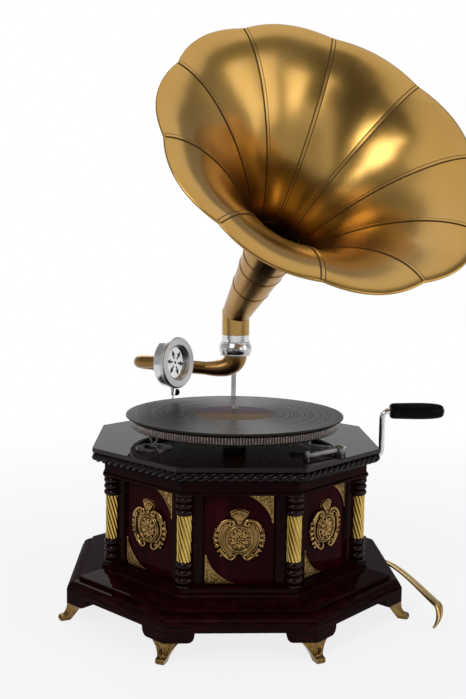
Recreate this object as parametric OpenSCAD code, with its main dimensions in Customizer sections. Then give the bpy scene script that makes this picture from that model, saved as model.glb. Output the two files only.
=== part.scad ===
// Horn gramophone: octagonal table case, spring motor, swinging tone arm and ten-petal horn.
// Millimetres, +Z up, front towards -Y. The origin lies on the floor under the turntable spindle.

/* [Plinth and feet] */
// Height of the cast feet
foot_h = 18.7; // [15:0.1:24]
// Reach of a foot's toe past the corner of the skirt
toe_reach = 9.3; // [6:0.1:12]
// Width of a foot where it meets its block
foot_w = 26; // [20:1:32]
// Height of the corner blocks over the feet
block_h = 10.3; // [7:0.1:14]
// Length of each wing of a corner block along its side
block_w = 31.5; // [26:0.5:36]
// Depth of a corner block's wings
block_d = 22; // [16:1:28]
// Distance from the spindle to each flat of the skirt
skirt_flat = 186.9; // [183:0.1:192]
// Height of the skirt's upright face
skirt_face_h = 6; // [4:0.2:8]
// Distance from the spindle to each flat of the plinth's nose
nose_flat = 171.9; // [168:0.1:174]
// Height of the plinth from the skirt's lower edge to the walls
plinth_h = 31; // [28:0.5:36]
// Radius of the quarter round over the skirt
round_r = 8; // [6:0.5:9]
// Thickness of the bottom board
bottom_t = 6; // [4:0.5:9]

/* [Case] */
// Distance from the spindle to each flat of the case frame
case_flat = 138; // [136:0.5:141]
// Height of the walls between plinth and frieze
wall_h = 99; // [94:1:112]
// Height of the frieze under the deck
frieze_h = 19.8; // [19.2:0.2:24]
// Thickness of the sub board under the deck
sub_board_t = 7.2; // [6.4:0.2:10]
// Thickness of the deck board
deck_t = 4.8; // [4:0.2:8]
// Distance from the spindle to each flat of the deck
deck_flat = 159.5; // [159:0.5:164]
// Thickness of a side panel
panel_t = 8; // [5:0.5:10]
// Set-back of a panel's face behind the frame
panel_setback = 4; // [2:0.5:5]
// Width of a corner post across its corner
post_w = 35; // [31:0.5:38]
// Depth of a corner post
post_d = 24; // [18:1:28]
// Thickness of the frieze and of the plinth's upper edge
frame_t = 22; // [19:1:26]
// Radius of the rope moulding
rope_r = 5.6; // [4.5:0.1:6]
// Number of bulges in each side's length of rope
rope_bulges = 10; // [8:1:12]

/* [Columns and brass mounts] */
// Distance from the spindle to the corner columns
col_ring = 152; // [150.5:0.5:153]
// Spacing of the two columns of a corner
col_pitch = 12.5; // [12:0.1:13.5]
// Largest radius of a column's turned ends
col_r = 5.8; // [5:0.1:5.9]
// Height of the lower turned end
lower_turn_h = 27.1; // [24:0.1:32]
// Length of the brass spiral
spiral_h = 49.1; // [44:0.1:56]
// Outer radius of the brass spiral
spiral_r = 5.2; // [4.4:0.1:5.8]
// Turn of the spiral from end to end, degrees
spiral_turn = -140; // [-180:10:-100]
// Leg of a corner spandrel
spandrel_leg = 32; // [24:1:34]
// Thickness of a spandrel
spandrel_t = 1.5; // [1:0.1:2.5]
// Width of a cartouche
cartouche_w = 55; // [46:1:60]
// Relief of a cartouche over its panel
cartouche_t = 5; // [3:0.5:7]

/* [Turntable] */
// Gap between deck and platter
platter_gap = 14.2; // [13:0.1:18]
// Height of the platter
platter_h = 9.5; // [8:0.1:12]
// Radius of the platter
platter_r = 122; // [120:0.5:125]
// Thickness of the platter's web
platter_web = 4; // [3:0.1:5]
// Thickness of the platter's rim
rim_t = 6; // [4:0.5:7]
// Thickness of the felt mat
mat_t = 2; // [1:0.1:3]
// Radius of the record
record_r = 127; // [126:0.5:128]
// Thickness of the record
record_t = 2.2; // [1.8:0.1:2.6]
// Radius of the record's label
label_r = 47; // [40:0.5:49]
// Radius of the spindle's shaft
spindle_r = 4; // [3.8:0.1:5]
// Radius of the spindle's pin through the record
pin_r = 3.6; // [3.2:0.05:3.7]
// Height of the pin over the record
pin_h = 8; // [5:0.5:10]

/* [Tone arm] */
// Place of the tone arm's pivot, sideways from the spindle
pivot_x = 7; // [4:0.5:10]
// Place of the tone arm's pivot, behind the spindle
pivot_y = 150; // [148:0.5:152]
// Height of the collar's lower face over the record
collar_rise = 51.3; // [48:0.1:56]
// Height of the collar
collar_h = 18; // [16:0.5:22]
// Outer radius of the collar
collar_r = 21.75; // [20.5:0.05:24]
// Radius of the arm's stem in the collar
stem_r = 14; // [13:0.1:14.5]
// Length of the stem in the collar
stem_h = 9; // [8:0.5:10]
// Radius of the elbow where it leaves the collar
elbow_r = 15.3; // [15:0.1:16]
// Drop of the arm's tube under the collar
elbow_drop = 18; // [16:0.5:22]
// Reach of the elbow to the straight tube
elbow_reach = 40; // [36:1:46]
// Outer radius of the arm's tube
arm_r = 8.7; // [8.4:0.1:9.4]
// Bore of the arm's tube
arm_bore_r = 7.05; // [6.5:0.05:7.2]
// Distance from the pivot to the gooseneck's joint
arm_len = 110; // [106:0.5:114]
// Rise of the arm's tube, degrees
arm_rise = 4.6; // [3:0.1:6]
// Tilt of the gooseneck about the tube, degrees
neck_tilt = 11; // [9:0.1:13]
// Bend radius of the gooseneck
neck_bend_r = 15; // [13:0.1:17]
// Turn of the gooseneck, degrees
neck_turn = 143; // [138:0.5:148]
// Length of the gooseneck's straight leg
neck_leg = 37.5; // [34:0.5:42]

/* [Sound box] */
// Radius of the sound box
box_r = 32.5; // [30:0.1:34]
// Depth of the sound box behind its front ring
box_depth = 12; // [10:0.2:15]
// Thickness of the front ring
ring_t = 6; // [5:0.1:8]
// Radius of the opening in the front ring
ring_bore_r = 20.5; // [18:0.1:23]
// Radius of the diaphragm
diaphragm_r = 25; // [24:0.1:26]
// Radius of the needle holder
holder_r = 3.2; // [2.8:0.1:3.6]
// Length of the needle holder under the sound box
holder_l = 9; // [7:0.2:11]
// Radius of the needle
needle_r = 0.9; // [0.7:0.05:1.2]
// Radius of the needle screw's knob
screw_knob_r = 4.2; // [3.5:0.1:5]

/* [Horn] */
// Number of petals
petals = 10; // [8:1:12]
// Height of the elbow's mitre over the collar
mitre_rise = 37.5; // [36:0.5:44]
// Lean of the horn's axis from upright, degrees
horn_lean = 52.5; // [48:0.5:56]
// Heading of the horn's axis, degrees from +X
horn_heading = -70.4; // [-80:0.1:-60]
// Turn of the petals about the axis, degrees
petal_turn = 17.3; // [0:0.1:36]
// Radius of the elbow tube and of the neck's foot
neck_r = 18.2; // [17.6:0.1:19.5]
// Radius of the neck where the petals begin
throat_r = 33; // [30:0.5:36]
// Distance along the axis from the mitre to the petals
throat_s = 150; // [142:1:158]
// Distance along the axis to the crease inside the rim
crease_s = 312; // [302:1:318]
// Radius of the crease
crease_r = 154; // [148:1:160]
// Set-forward of the rim from the crease
rim_forward = 5; // [3:0.5:8]
// Radius of the rim at a seam
rim_r = 181.3; // [176:0.1:190]
// Bulge of the rim between two seams
scallop = 5.7; // [3:0.1:9]
// Thickness of the horn's sheet
sheet_t = 0.8; // [0.6:0.1:1.2]
// Thickness of the rolled rim
roll_t = 3.2; // [2.4:0.1:4]

/* [Crank] */
// Drop of the crank's axis under the sub board
crank_drop = 10.8; // [10.4:0.1:13]
// Distance from the spindle to the crank's upright
crank_x = 175; // [172:0.5:185]
// Throw of the crank
crank_throw = 54; // [46:1:64]
// Radius of the crank's rod
rod_r = 3.5; // [3:0.1:3.8]
// Bend radius of the crank's rod
rod_bend = 8; // [7:0.5:9]
// Length of the grip
grip_l = 63; // [54:1:72]
// Radius of the grip
grip_r = 10; // [8.5:0.1:12]

/* [Motor] */
// Thickness of the motor plates
plate_t = 3; // [2.5:0.1:4]
// Distance between the motor plates
motor_h = 76.8; // [74:0.2:86]
// Distance from the spindle to the spring barrel's axis
barrel_x = 75; // [74:0.1:76]
// Radius of the spring barrel's drum
drum_r = 35; // [32:0.5:36]
// Radius of the barrel's arbor
arbor_r = 5; // [4.5:0.1:5.5]
// Turns of the mainspring
spring_turns = 6; // [4:1:8]
// Module of the gears
gear_m = 1.25; // [1.24:0.005:1.26]

/* [Bracket and stay] */
// Distance from the pivot back to the bracket's post
bracket_reach = 34; // [32:0.5:40]
// Depth of the bracket's post
bracket_d = 14; // [12:0.5:18]
// Thickness of the bracket
bracket_t = 6; // [5:0.5:8]
// Inner bend radius of the bracket
bracket_bend = 8; // [6:0.5:10]
// Height of the bracket's foot over the plinth
bracket_rise = 48; // [44:1:54]
// Half width of the side stay's bar
stay_w = 5; // [4:0.1:6]
// Reach of the side stay past the skirt
stay_reach = 36; // [30:0.5:40]
// Length of the side stay from its root to its bend
stay_run = 117.5; // [108:0.5:124]

/* [Hidden] */
$fn = 48;

// Clearances
run_gap = 0.05;
seat_gap = 0.1;
part_gap = 0.3;
mitre_gap = 0.15;

// Heights of the stack from the floor up
skirt_z = foot_h + block_h;
wall_z = skirt_z + plinth_h;
frieze_z = wall_z + wall_h;
sub_z = frieze_z + frieze_h;
board_z = sub_z + sub_board_t;
deck_z = board_z + deck_t;
platter_z = deck_z + platter_gap;
mat_z = platter_z + platter_h;
record_z = mat_z + mat_t;
record_top = record_z + record_t;
label_t = 0.2;

// Octagon: faces at 0, 45 ... degrees, corners half way between
half_side = 22.5;
skirt_corner = skirt_flat / cos(half_side);
toe_r = skirt_corner + toe_reach;
panel_face = case_flat - panel_setback;
panel_half_w = (panel_face * sin(half_side) - post_w / 2) / cos(half_side);
frieze_flat = deck_flat - 2 * rope_r + seat_gap;
wall_in = frieze_flat - frame_t;
rope_flat = deck_flat + 0.7 - rope_r;
rope_z = board_z - rope_r - seat_gap;
base_lip_h = 8;
bottom_z = skirt_z + base_lip_h;
back_face = 2;

// Columns
spiral_z = wall_z + lower_turn_h;
upper_turn_h = wall_h - lower_turn_h - spiral_h;
post_front = col_ring - col_r - part_gap;

// Deck fittings
dial_place = [-92, -66];
dial_r = 20;
dial_t = 1;
brake_place = [110, -94];
brake_handle = [70.5, -126.4];
brake_arm_angle = 155.5;
brake_post_r = 3;
brake_pad_r = 4;
brake_pad_gap = 2.4;
brake_arm_tail = 20;
brake_pad_ring = platter_r - rim_t - brake_pad_gap - brake_pad_r;
brake_to_axis = -brake_place * [cos(brake_arm_angle), sin(brake_arm_angle)];
brake_pad_at = brake_to_axis - sqrt(pow(brake_to_axis, 2) - brake_place * brake_place + pow(brake_pad_ring, 2));
brake_arm_len = brake_pad_at + brake_arm_tail;
lever_t = 4.5;
lever_z = deck_z + 3.3;

// Motor
plate_z = sub_z - plate_t;
lower_top = plate_z - motor_h;
lower_z = lower_top - plate_t;
crank_z = sub_z - crank_drop;
pinion_teeth = 12;
crown_teeth = 36;
barrel_teeth = 64;
inter_pinion_teeth = 10;
inter_wheel_teeth = 40;
spindle_teeth = 12;
gov_wheel_teeth = 40;
gov_pinion_teeth = 8;
mesh_gap = 0.15;
function pitch_r(teeth) = teeth * gear_m / 2;
pinion_x = barrel_x + pitch_r(crown_teeth);
pinion_w = 4;
shaft_r = 4.5;
shaft_end = 156;
socket_l = 24;
tooth_up = 0.85 * gear_m;
tooth_down = 1.15 * gear_m;
crown_root_z = crank_z - pitch_r(pinion_teeth) - tooth_down;
crown_t = 3.5;
crown_z = crown_root_z - crown_t;
wheel_t = 4;
wheel_z = lower_top + wheel_t;
barrel_gear_t = 5;
barrel_z = wheel_z + wheel_t + 5;
drum_z = barrel_z + barrel_gear_t;
cap_t = 2;
drum_top = crown_z - 2.5 - cap_t;
drum_wall = 2;
inter_barrel = pitch_r(barrel_teeth) + pitch_r(inter_pinion_teeth) + mesh_gap;
inter_spindle = pitch_r(inter_wheel_teeth) + pitch_r(spindle_teeth) + mesh_gap;
inter_x = (pow(inter_spindle, 2) - pow(inter_barrel, 2) + pow(barrel_x, 2)) / (2 * barrel_x);
inter_place = [inter_x, sqrt(pow(inter_spindle, 2) - pow(inter_x, 2))];
inter_angle = atan2(inter_place[1], inter_place[0]);
inter_barrel_angle = atan2(-inter_place[1], barrel_x - inter_place[0]);
inter_r = 2.5;
gov_angle = 205;
gov_reach = pitch_r(gov_wheel_teeth) + pitch_r(gov_pinion_teeth) + mesh_gap;
gov_place = gov_reach * [cos(gov_angle), sin(gov_angle)];
gov_r = 2;
gov_gear_z = drum_z + 8;
pillar_r = 4;
pillar_places = [[-40, -42], [-40, 42], [100, -41], [100, 41]];
bearing_x = [101, 106];

// Tone arm, collar and gooseneck
collar_z = record_top + collar_rise;
collar_top = collar_z + collar_h;
lug_reach = collar_r + 4.25;
pivot = [pivot_x, pivot_y, 0];
tube_start = [-elbow_reach, 0, collar_z - elbow_drop];
arm_axis = [-cos(arm_rise), 0, sin(arm_rise)];
arm_end = tube_start + arm_axis * (arm_len - elbow_reach) / cos(arm_rise);
spigot_r = arm_bore_r - run_gap;
spigot_l = 14;
neck_tube_r = arm_r - 0.3;
bend_end = [neck_bend_r * sin(neck_turn), neck_bend_r * (1 - cos(neck_turn)), 0];
leg_dir = [cos(neck_turn), sin(neck_turn), 0];
box_back = -box_depth + 2;
box_place = bend_end + leg_dir * (neck_leg - box_back);
holder_z = 3;
bar_w = 2;
bar_t = 1.6;
bar_z = -1;
diaphragm_z = box_back + 5;
diaphragm_t = 0.5;
// Height of a point of the sound box's frame, down its needle, over the floor
function gooseneck_up(p) = pivot[2] + arm_end[2] + p[0] * sin(arm_rise)
    + cos(arm_rise) * (p[1] * sin(neck_tilt) + p[2] * cos(neck_tilt));
needle_root = box_place + leg_dir * holder_z;
needle_len = (gooseneck_up(needle_root) - record_top - part_gap) / (cos(arm_rise) * cos(neck_tilt));

// Horn
mitre_z = collar_top + mitre_rise;
mitre = [pivot_x, pivot_y, mitre_z];
ferrule_h = 9;
ferrule_wall = 4;
tube_wall = 1.2;
petal_rows = 9;
petal_cols = 4;

// Bracket
bracket_y = pivot_y + bracket_reach;
bracket_arm_z = wall_z + bracket_rise;
bracket_plate = [30, 4, 44];
bracket_screw_at = [10.5, 17];
screw_r = 1.6;

// Colours
mahogany = "#1d0a0c";
panel_red = "#3a0a12";
brass = "#b08a3c";
chrome = "#c9ccd0";
steel = "#8d9196";
ebonite = "#141414";

// Helpers

function unit(v) = v / norm(v);
function bezier2(a, b, c, n) = [for (i = [0:n]) let (t = i / n)
    a * pow(1 - t, 2) + b * 2 * t * (1 - t) + c * t * t];
function bezier3(a, b, c, d, n) = [for (i = [0:n]) let (t = i / n)
    a * pow(1 - t, 3) + b * 3 * t * pow(1 - t, 2) + c * 3 * t * t * (1 - t) + d * t * t * t];
function arc(centre, r, from, to, n) = [for (i = [0:n]) let (a = from + (to - from) * i / n)
    centre + r * [cos(a), sin(a)]];

module octagon(flat) {
    rotate(half_side) circle(r = flat / cos(half_side), $fn = 8);
}

// Eight mitred lengths of a moulding whose profile is drawn as distance out and height
module mitred(reach, low, high) {
    for (k = [0:7]) rotate(45 * k) intersection() {
        rotate([90, 0, 0]) linear_extrude(2 * reach, center = true) children();
        translate([mitre_gap, 0, low]) linear_extrude(high - low)
            polygon([[0, 0], [reach, reach * tan(half_side)], [reach, -reach * tan(half_side)]]);
    }
}

module at_corners() {
    for (k = [0:7]) rotate(45 * k + half_side) children();
}

module at_columns() {
    at_corners() for (s = [-1, 1]) translate([col_ring, s * col_pitch / 2, 0]) children();
}

// Panel frame: x to the right along the panel, y up from the walls' foot, z out of the panel
module on_panel(k) {
    rotate(45 * k) translate([panel_face, 0, wall_z]) rotate([90, 0, 90]) children();
}

// Triangles of a grid of points, rows by cols, numbered from first
function grid_faces(rows, cols, first, flip) = [for (i = [0:rows - 2], j = [0:cols - 2]) let (
    a = first + i * cols + j, b = a + 1, c = a + cols, d = c + 1)
    each flip ? [[a, b, d], [a, d, c]] : [[a, d, b], [a, c, d]]];

// Triangles of the strip between two edges given as lists of point numbers
function strip_faces(e, f) = [for (i = [0:len(e) - 2])
    each [[e[i], f[i], f[i + 1]], [e[i], f[i + 1], e[i + 1]]]];

// A sheet between two grids of points
module sheet(front, back) {
    rows = len(front);
    cols = len(front[0]);
    n = rows * cols;
    left = [for (i = [0:rows - 1]) i * cols];
    right = [for (i = [0:rows - 1]) i * cols + cols - 1];
    low = [for (j = [0:cols - 1]) j];
    high = [for (j = [0:cols - 1]) (rows - 1) * cols + j];
    polyhedron(
        points = concat([for (r = front) each r], [for (r = back) each r]),
        faces = concat(
            grid_faces(rows, cols, 0, true), grid_faces(rows, cols, n, false),
            strip_faces(left, [for (k = left) k + n]), strip_faces([for (k = right) k + n], right),
            strip_faces([for (k = low) k + n], low), strip_faces(high, [for (k = high) k + n])));
}

// A solid through rings of points, closed by a flat cap at each end
module loft(rings) {
    n = len(rings[0]);
    last = len(rings) - 1;
    polyhedron(
        points = [for (r = rings) each r],
        faces = concat(
            [[for (j = [0:n - 1]) j]],
            [[for (j = [0:n - 1]) last * n + n - 1 - j]],
            [for (i = [0:last - 1], j = [0:n - 1]) let (k = (j + 1) % n)
                each [[i * n + j, (i + 1) * n + k, i * n + k], [i * n + j, (i + 1) * n + j, (i + 1) * n + k]]]));
}

// A pipe through outer rings and back through inner rings
module pipe_loft(outer, inner) {
    last = len(inner) - 1;
    rings = concat(outer, [for (i = [0:last]) inner[last - i]]);
    n = len(rings[0]);
    m = len(rings);
    polyhedron(
        points = [for (r = rings) each r],
        faces = [for (i = [0:m - 1], j = [0:n - 1]) let (k = (j + 1) % n, h = (i + 1) % m)
            each [[i * n + j, h * n + k, i * n + k], [i * n + j, h * n + j, h * n + k]]]);
}

// Spur gear outline with straight-sided teeth, one tooth centred on +X
module gear2d(teeth) {
    r = pitch_r(teeth);
    quarter = 90 / teeth;
    polygon([for (i = [0:teeth - 1]) let (a = 360 * i / teeth)
        each [for (q = [[r - tooth_down, -1.2], [r + tooth_up, -0.42], [r + tooth_up, 0.42], [r - tooth_down, 1.2]])
            q[0] * [cos(a + q[1] * quarter), sin(a + q[1] * quarter)]]]);
}

module gear(teeth, t, bore) {
    linear_extrude(t) difference() {
        gear2d(teeth);
        circle(r = bore);
    }
}

module along_x(x) {
    translate([x, 0, crank_z]) rotate([0, 90, 0]) children();
}

module in_gooseneck() {
    translate(pivot + arm_end) rotate([0, arm_rise, 0]) rotate([0, 0, 180]) rotate([neck_tilt, 0, 0]) children();
}

// Sound box frame: x down to the needle, z out of its front
module in_sound_box() {
    in_gooseneck() translate(box_place) rotate([0, 90, neck_turn]) children();
}

// Horn frame: z along the axis from the mitre to the mouth
module in_horn() {
    translate(mitre) rotate([0, horn_lean, horn_heading]) children();
}

// Base

// Leaf feet: narrow at the sole, spread under the corner, with a rolled toe
module feet() {
    top_in = skirt_corner - 14;
    ball_r = 2.6;
    sole_w = 8.4;
    sole_in = toe_r - 12;
    spread = foot_w / 2;
    spread_in = skirt_corner - spread * tan(half_side);
    color(brass) at_corners() intersection() {
        rotate([90, 0, 0]) linear_extrude(foot_w, center = true) polygon(concat(
            [[sole_in, 0]],
            arc([toe_r - ball_r, ball_r], ball_r, -90, 110, 5),
            bezier2([toe_r - 2 * ball_r, 5.6], [skirt_corner + 0.4, 7], [skirt_corner + 0.4, foot_h], 4),
            bezier2([top_in, foot_h], [top_in + 5, 6], [sole_in, 0], 4)));
        rotate([90, 0, 90]) linear_extrude(toe_r + 1) polygon(concat(
            bezier2([sole_w / 2, 0], [sole_w / 2 + 1, foot_h * 0.5], [spread, foot_h], 4),
            bezier2([-spread, foot_h], [-sole_w / 2 - 1, foot_h * 0.5], [-sole_w / 2, 0], 4)));
        linear_extrude(foot_h) polygon([
            [top_in - 1, -spread], [spread_in, -spread], [skirt_corner - 1.7, -4.5], [toe_r + 1, -4.5],
            [toe_r + 1, 4.5], [skirt_corner - 1.7, 4.5], [spread_in, spread], [top_in - 1, spread]]);
    }
}

// Bracket blocks: two wings from each corner along the sides, with rounded ends
module corner_blocks() {
    end_r = 6.5;
    color(mahogany) at_corners() for (s = [-1, 1])
        translate([skirt_corner, 0, foot_h]) rotate(s * (90 + half_side)) translate([0, s > 0 ? block_d : 0, 0])
            rotate([90, 0, 0]) linear_extrude(block_d) polygon(concat(
                [[0, 0]], bezier2([block_w - end_r, 0], [block_w, 1], [block_w, block_h], 4), [[0, block_h]]));
}

module plinth() {
    ledge_z = skirt_z + skirt_face_h;
    nose_z = ledge_z + round_r;
    nose_r = 2.3;
    color(mahogany) mitred(skirt_flat + 5, skirt_z, wall_z) polygon(concat(
        [[wall_in, skirt_z], [skirt_flat, skirt_z], [skirt_flat, ledge_z]],
        arc([skirt_flat - 1 - round_r, ledge_z], round_r, 0, 90, 5),
        arc([nose_flat, nose_z + nose_r], nose_r, -60, 90, 4),
        [[frieze_flat + 1.5, wall_z - base_lip_h], [frieze_flat, wall_z - base_lip_h + 1.5],
         [frieze_flat, wall_z], [wall_in, wall_z]]));
}

module bottom_board() {
    color(mahogany) translate([0, 0, bottom_z]) linear_extrude(bottom_t) octagon(wall_in - seat_gap);
}

// Case

module corner_posts() {
    color(mahogany) at_corners() translate([0, 0, wall_z]) linear_extrude(wall_h) intersection() {
        translate([post_front - post_d, -post_w / 2]) square([post_d, post_w]);
        rotate(-half_side) octagon(case_flat);
    }
}

module side_panels() {
    reach = 2 * case_flat;
    color(panel_red) difference() {
        for (k = [0:7]) rotate(45 * k) translate([0, 0, wall_z]) linear_extrude(wall_h) difference() {
            translate([panel_face - panel_t, -reach / 4]) square([panel_t, reach / 2]);
            for (s = [-1, 1]) rotate(s * half_side)
                translate([0, -post_w / 2 - seat_gap]) square([reach, post_w + 2 * seat_gap]);
        }
        at_bracket_screws() translate([0, 0, -panel_t / 2]) cylinder(r = screw_r + 0.02, h = panel_t);
    }
}

module turned_end(h) {
    disc_h = 4;
    bead_d = 9;
    ring_d = 5;
    collar_t = 2.5;
    core_r = col_r - 2.4;
    rotate_extrude() intersection() {
        union() {
            square([core_r, h]);
            square([col_r, disc_h]);
            translate([col_r - bead_d / 2, disc_h + bead_d / 2]) circle(d = bead_d);
            translate([col_r - 0.6 - ring_d / 2, disc_h + bead_d + ring_d / 2]) circle(d = ring_d);
            translate([0, h - collar_t]) square([col_r - 0.3, collar_t]);
        }
        square([col_r, h]);
    }
}

module column_turnings() {
    color(mahogany) at_columns() {
        translate([0, 0, wall_z]) turned_end(lower_turn_h - seat_gap);
        translate([0, 0, frieze_z]) mirror([0, 0, 1]) turned_end(upper_turn_h - seat_gap);
    }
}

// Brass rods with nine twisted ribs
module column_spirals() {
    lobes = 9;
    steps = 7;
    color(brass) at_columns() translate([0, 0, spiral_z]) loft([for (i = [0:steps])
        [for (j = [0:2 * lobes - 1]) let (
            a = -180 * j / lobes + spiral_turn * i / steps,
            r = j % 2 == 0 ? spiral_r : spiral_r - 0.8)
            [r * cos(a), r * sin(a), spiral_h * i / steps]]]);
}

// Corner plate with a hollow curved edge, its square corner at the origin
module spandrel2d() {
    difference() {
        square(spandrel_leg);
        translate([spandrel_leg, spandrel_leg] * 1.08) circle(r = spandrel_leg * 1.08 - 1.6);
        translate([0, spandrel_leg - 0.5]) square([spandrel_leg, 1]);
        translate([spandrel_leg - 0.5, 0]) square([1, spandrel_leg]);
        polygon([[spandrel_leg * 1.01, 4], [spandrel_leg * 1.01, spandrel_leg * 1.01], [4, spandrel_leg * 1.01]]);
    }
}

module spandrels() {
    edge = panel_half_w - 1;
    color(brass) for (k = [0:7]) on_panel(k) linear_extrude(spandrel_t) {
        translate([-edge, 1]) spandrel2d();
        translate([edge, wall_h - 1]) rotate(180) spandrel2d();
    }
}

// Scrolled cartouche with a fan crest, scalloped sides and a domed round boss
module cartouche() {
    r = cartouche_w / 2;
    boss_r = r * 0.56;
    rim_t = cartouche_t * 0.5;
    linear_extrude(rim_t) {
        circle(r = r * 0.74);
        for (a = [-24, 4, 32]) rotate(a) for (s = [-1, 1]) translate([s * r * 0.74, 0]) circle(r = r * 0.26);
        for (s = [-1, 1]) translate([s * r * 0.34, -r * 0.72]) circle(r = r * 0.24);
        polygon([[-r * 0.14, r * 0.6], [-r * 0.38, r * 0.98], [0, r * 1.05], [r * 0.38, r * 0.98], [r * 0.14, r * 0.6]]);
    }
    rotate_extrude() polygon(concat([[0, 0], [boss_r, 0], [boss_r, rim_t]],
        bezier2([boss_r - 1, cartouche_t - 0.6], [boss_r * 0.6, cartouche_t], [0, cartouche_t], 3)));
}

module cartouches() {
    color(brass) for (k = [0:7]) if (k != back_face) on_panel(k) translate([0, wall_h / 2 + 3]) cartouche();
}

module frieze() {
    fillet = 2.4;
    field_t = 2;
    color(mahogany) difference() {
        mitred(deck_flat, frieze_z, sub_z) polygon([
            [wall_in, frieze_z], [frieze_flat, frieze_z], [frieze_flat, frieze_z + fillet],
            [frieze_flat - field_t, frieze_z + fillet + 1], [frieze_flat - field_t, sub_z - fillet - 1],
            [frieze_flat, sub_z - fillet], [frieze_flat, sub_z], [wall_in, sub_z]]);
        along_x(0) cylinder(r = bush_r + run_gap, h = deck_flat);
    }
}

module top_board() {
    color(mahogany) difference() {
        union() {
            translate([0, 0, sub_z]) linear_extrude(sub_board_t) octagon(frieze_flat);
            translate([0, 0, board_z]) linear_extrude(deck_t) octagon(deck_flat);
        }
        translate([0, 0, sub_z - 1]) cylinder(r = 2 * spindle_r, h = deck_z - sub_z + 2);
        translate([dial_place[0], dial_place[1], sub_z - 1])
            cylinder(r = lever_shaft_r + run_gap, h = deck_z - sub_z + 2);
    }
}

// Three-strand rope along each side of the deck, mitred at the corners
module rope_moulding() {
    strands = 3;
    steps = 3 * rope_bulges;
    color(mahogany) for (k = [0:7]) rotate(45 * k) loft([for (i = [0:steps]) let (t = 2 * i / steps - 1)
        [for (j = [0:2 * strands - 1]) let (
            a = 180 * j / strands + 360 * rope_bulges * i / steps / strands,
            r = j % 2 == 0 ? rope_r : rope_r - 1.6,
            x = rope_flat + r * cos(a))
            [x, t * (x * tan(half_side) - mitre_gap), rope_z + r * sin(a)]]]);
}

// Tone arm bracket behind the case

module rear_bracket() {
    outer = bracket_bend + bracket_d;
    top_z = collar_z + (collar_h - bracket_d) / 2;
    foot_y = panel_face + bracket_plate[1];
    lug_y = pivot_y + lug_reach + seat_gap;
    bend_y = bracket_y + bracket_d - outer;
    color(chrome) difference() {
        union() {
            translate([pivot_x - bracket_t / 2, 0, 0]) rotate([90, 0, 90]) linear_extrude(bracket_t) {
                translate([bracket_y, bracket_arm_z + outer])
                    square([bracket_d, top_z + bracket_d - bracket_arm_z - 2 * outer]);
                translate([bend_y, bracket_arm_z + outer]) intersection() {
                    difference() {
                        circle(r = outer);
                        circle(r = bracket_bend);
                    }
                    translate([0, -outer]) square(outer);
                }
                translate([bend_y, top_z + bracket_d - outer]) intersection() {
                    difference() {
                        circle(r = outer);
                        circle(r = bracket_bend);
                    }
                    square(outer);
                }
                translate([foot_y - 0.5, bracket_arm_z]) square([bend_y - foot_y + 0.5, bracket_d]);
                translate([lug_y, top_z]) square([bend_y - lug_y, bracket_d]);
            }
            translate([pivot_x - bracket_plate[0] / 2, panel_face, bracket_arm_z + (bracket_d - bracket_plate[2]) / 2])
                cube(bracket_plate);
        }
        at_bracket_screws() translate([0, 0, -1]) cylinder(r = screw_r + seat_gap, h = 10);
    }
}

module at_bracket_screws() {
    for (s = [-1, 1], t = [-1, 1])
        translate([pivot_x + s * bracket_screw_at[0], panel_face, 0])
            translate([0, 0, bracket_arm_z + bracket_d / 2 + t * bracket_screw_at[1]]) rotate([-90, 0, 0]) children();
}

module bracket_screws() {
    color(brass) at_bracket_screws() {
        translate([0, 0, -panel_t / 2]) cylinder(r = screw_r, h = panel_t / 2 + bracket_plate[1]);
        translate([0, 0, bracket_plate[1]]) cylinder(r1 = 2 * screw_r, r2 = screw_r, h = 1.8);
    }
}

// Fixed ring that holds the arm's stem below and the horn's ferrule above
module collar() {
    color(chrome) difference() {
        union() {
            translate([pivot_x, pivot_y, collar_z]) rotate_extrude() polygon(concat(
                [[0, 0], [collar_r - 2, 0]],
                bezier2([collar_r - 2, 2], [collar_r + 2, collar_h / 2], [collar_r - 2, collar_h - 2], 6),
                [[collar_r - 2, collar_h], [0, collar_h]]));
            translate([pivot_x - bracket_t, pivot_y, collar_z + (collar_h - bracket_d) / 2])
                cube([2 * bracket_t, lug_reach, bracket_d]);
        }
        translate([pivot_x, pivot_y, collar_z - 1]) cylinder(r = stem_r + run_gap, h = collar_h + 2);
        translate([pivot_x, pivot_y, collar_z + stem_h + 1]) cylinder(r = neck_r - tube_wall + run_gap, h = collar_h);
    }
}

// Curved brass bar from the skirt's right side, round a bend and down to the floor
module side_stay() {
    tip_z = 3;
    steps = 6;
    root = [skirt_flat + seat_gap, 17, skirt_z + 0.55 * skirt_face_h];
    bend = [skirt_flat + 0.95 * stay_reach, root[1] - stay_run, foot_h + 0.55 * block_h];
    tip = [skirt_flat + 0.75 * stay_reach, root[1] - 1.12 * stay_run, tip_z];
    run = bezier3(root, root + stay_run * [0.13, -0.24, 0.01], bend - stay_run * [0.1, -0.28, -0.05], bend, steps);
    drop = bezier3(bend, bend + stay_reach * [0.07, -0.2, -0.06], tip + stay_reach * [0.22, 0.04, 0.2], tip, steps);
    path = concat(run, [for (i = [1:steps]) drop[i]]);
    last = len(path) - 1;
    sides = 8;
    color(brass) loft([for (i = [0:last]) let (
        t = i == 0 ? [1, 0, 0] : unit(path[min(i + 1, last)] - path[i - 1]),
        side = unit(cross([0, 0, 1], t)),
        up = cross(t, side),
        taper = i < steps ? 0.8 + 0.3 * i / steps : 1.1 - 0.75 * (i - steps) / steps)
        [for (j = [0:sides - 1]) let (
            a = 360 * (j + 0.5) / sides,
            p = path[i] + taper * (stay_w * cos(a) * side + stay_w * 0.56 * sin(a) * up))
            [p[0], p[1], max(p[2], 0)]]]);
}

// Crank

bush_r = 7.4;
bush_flange_t = 2.5;

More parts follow.
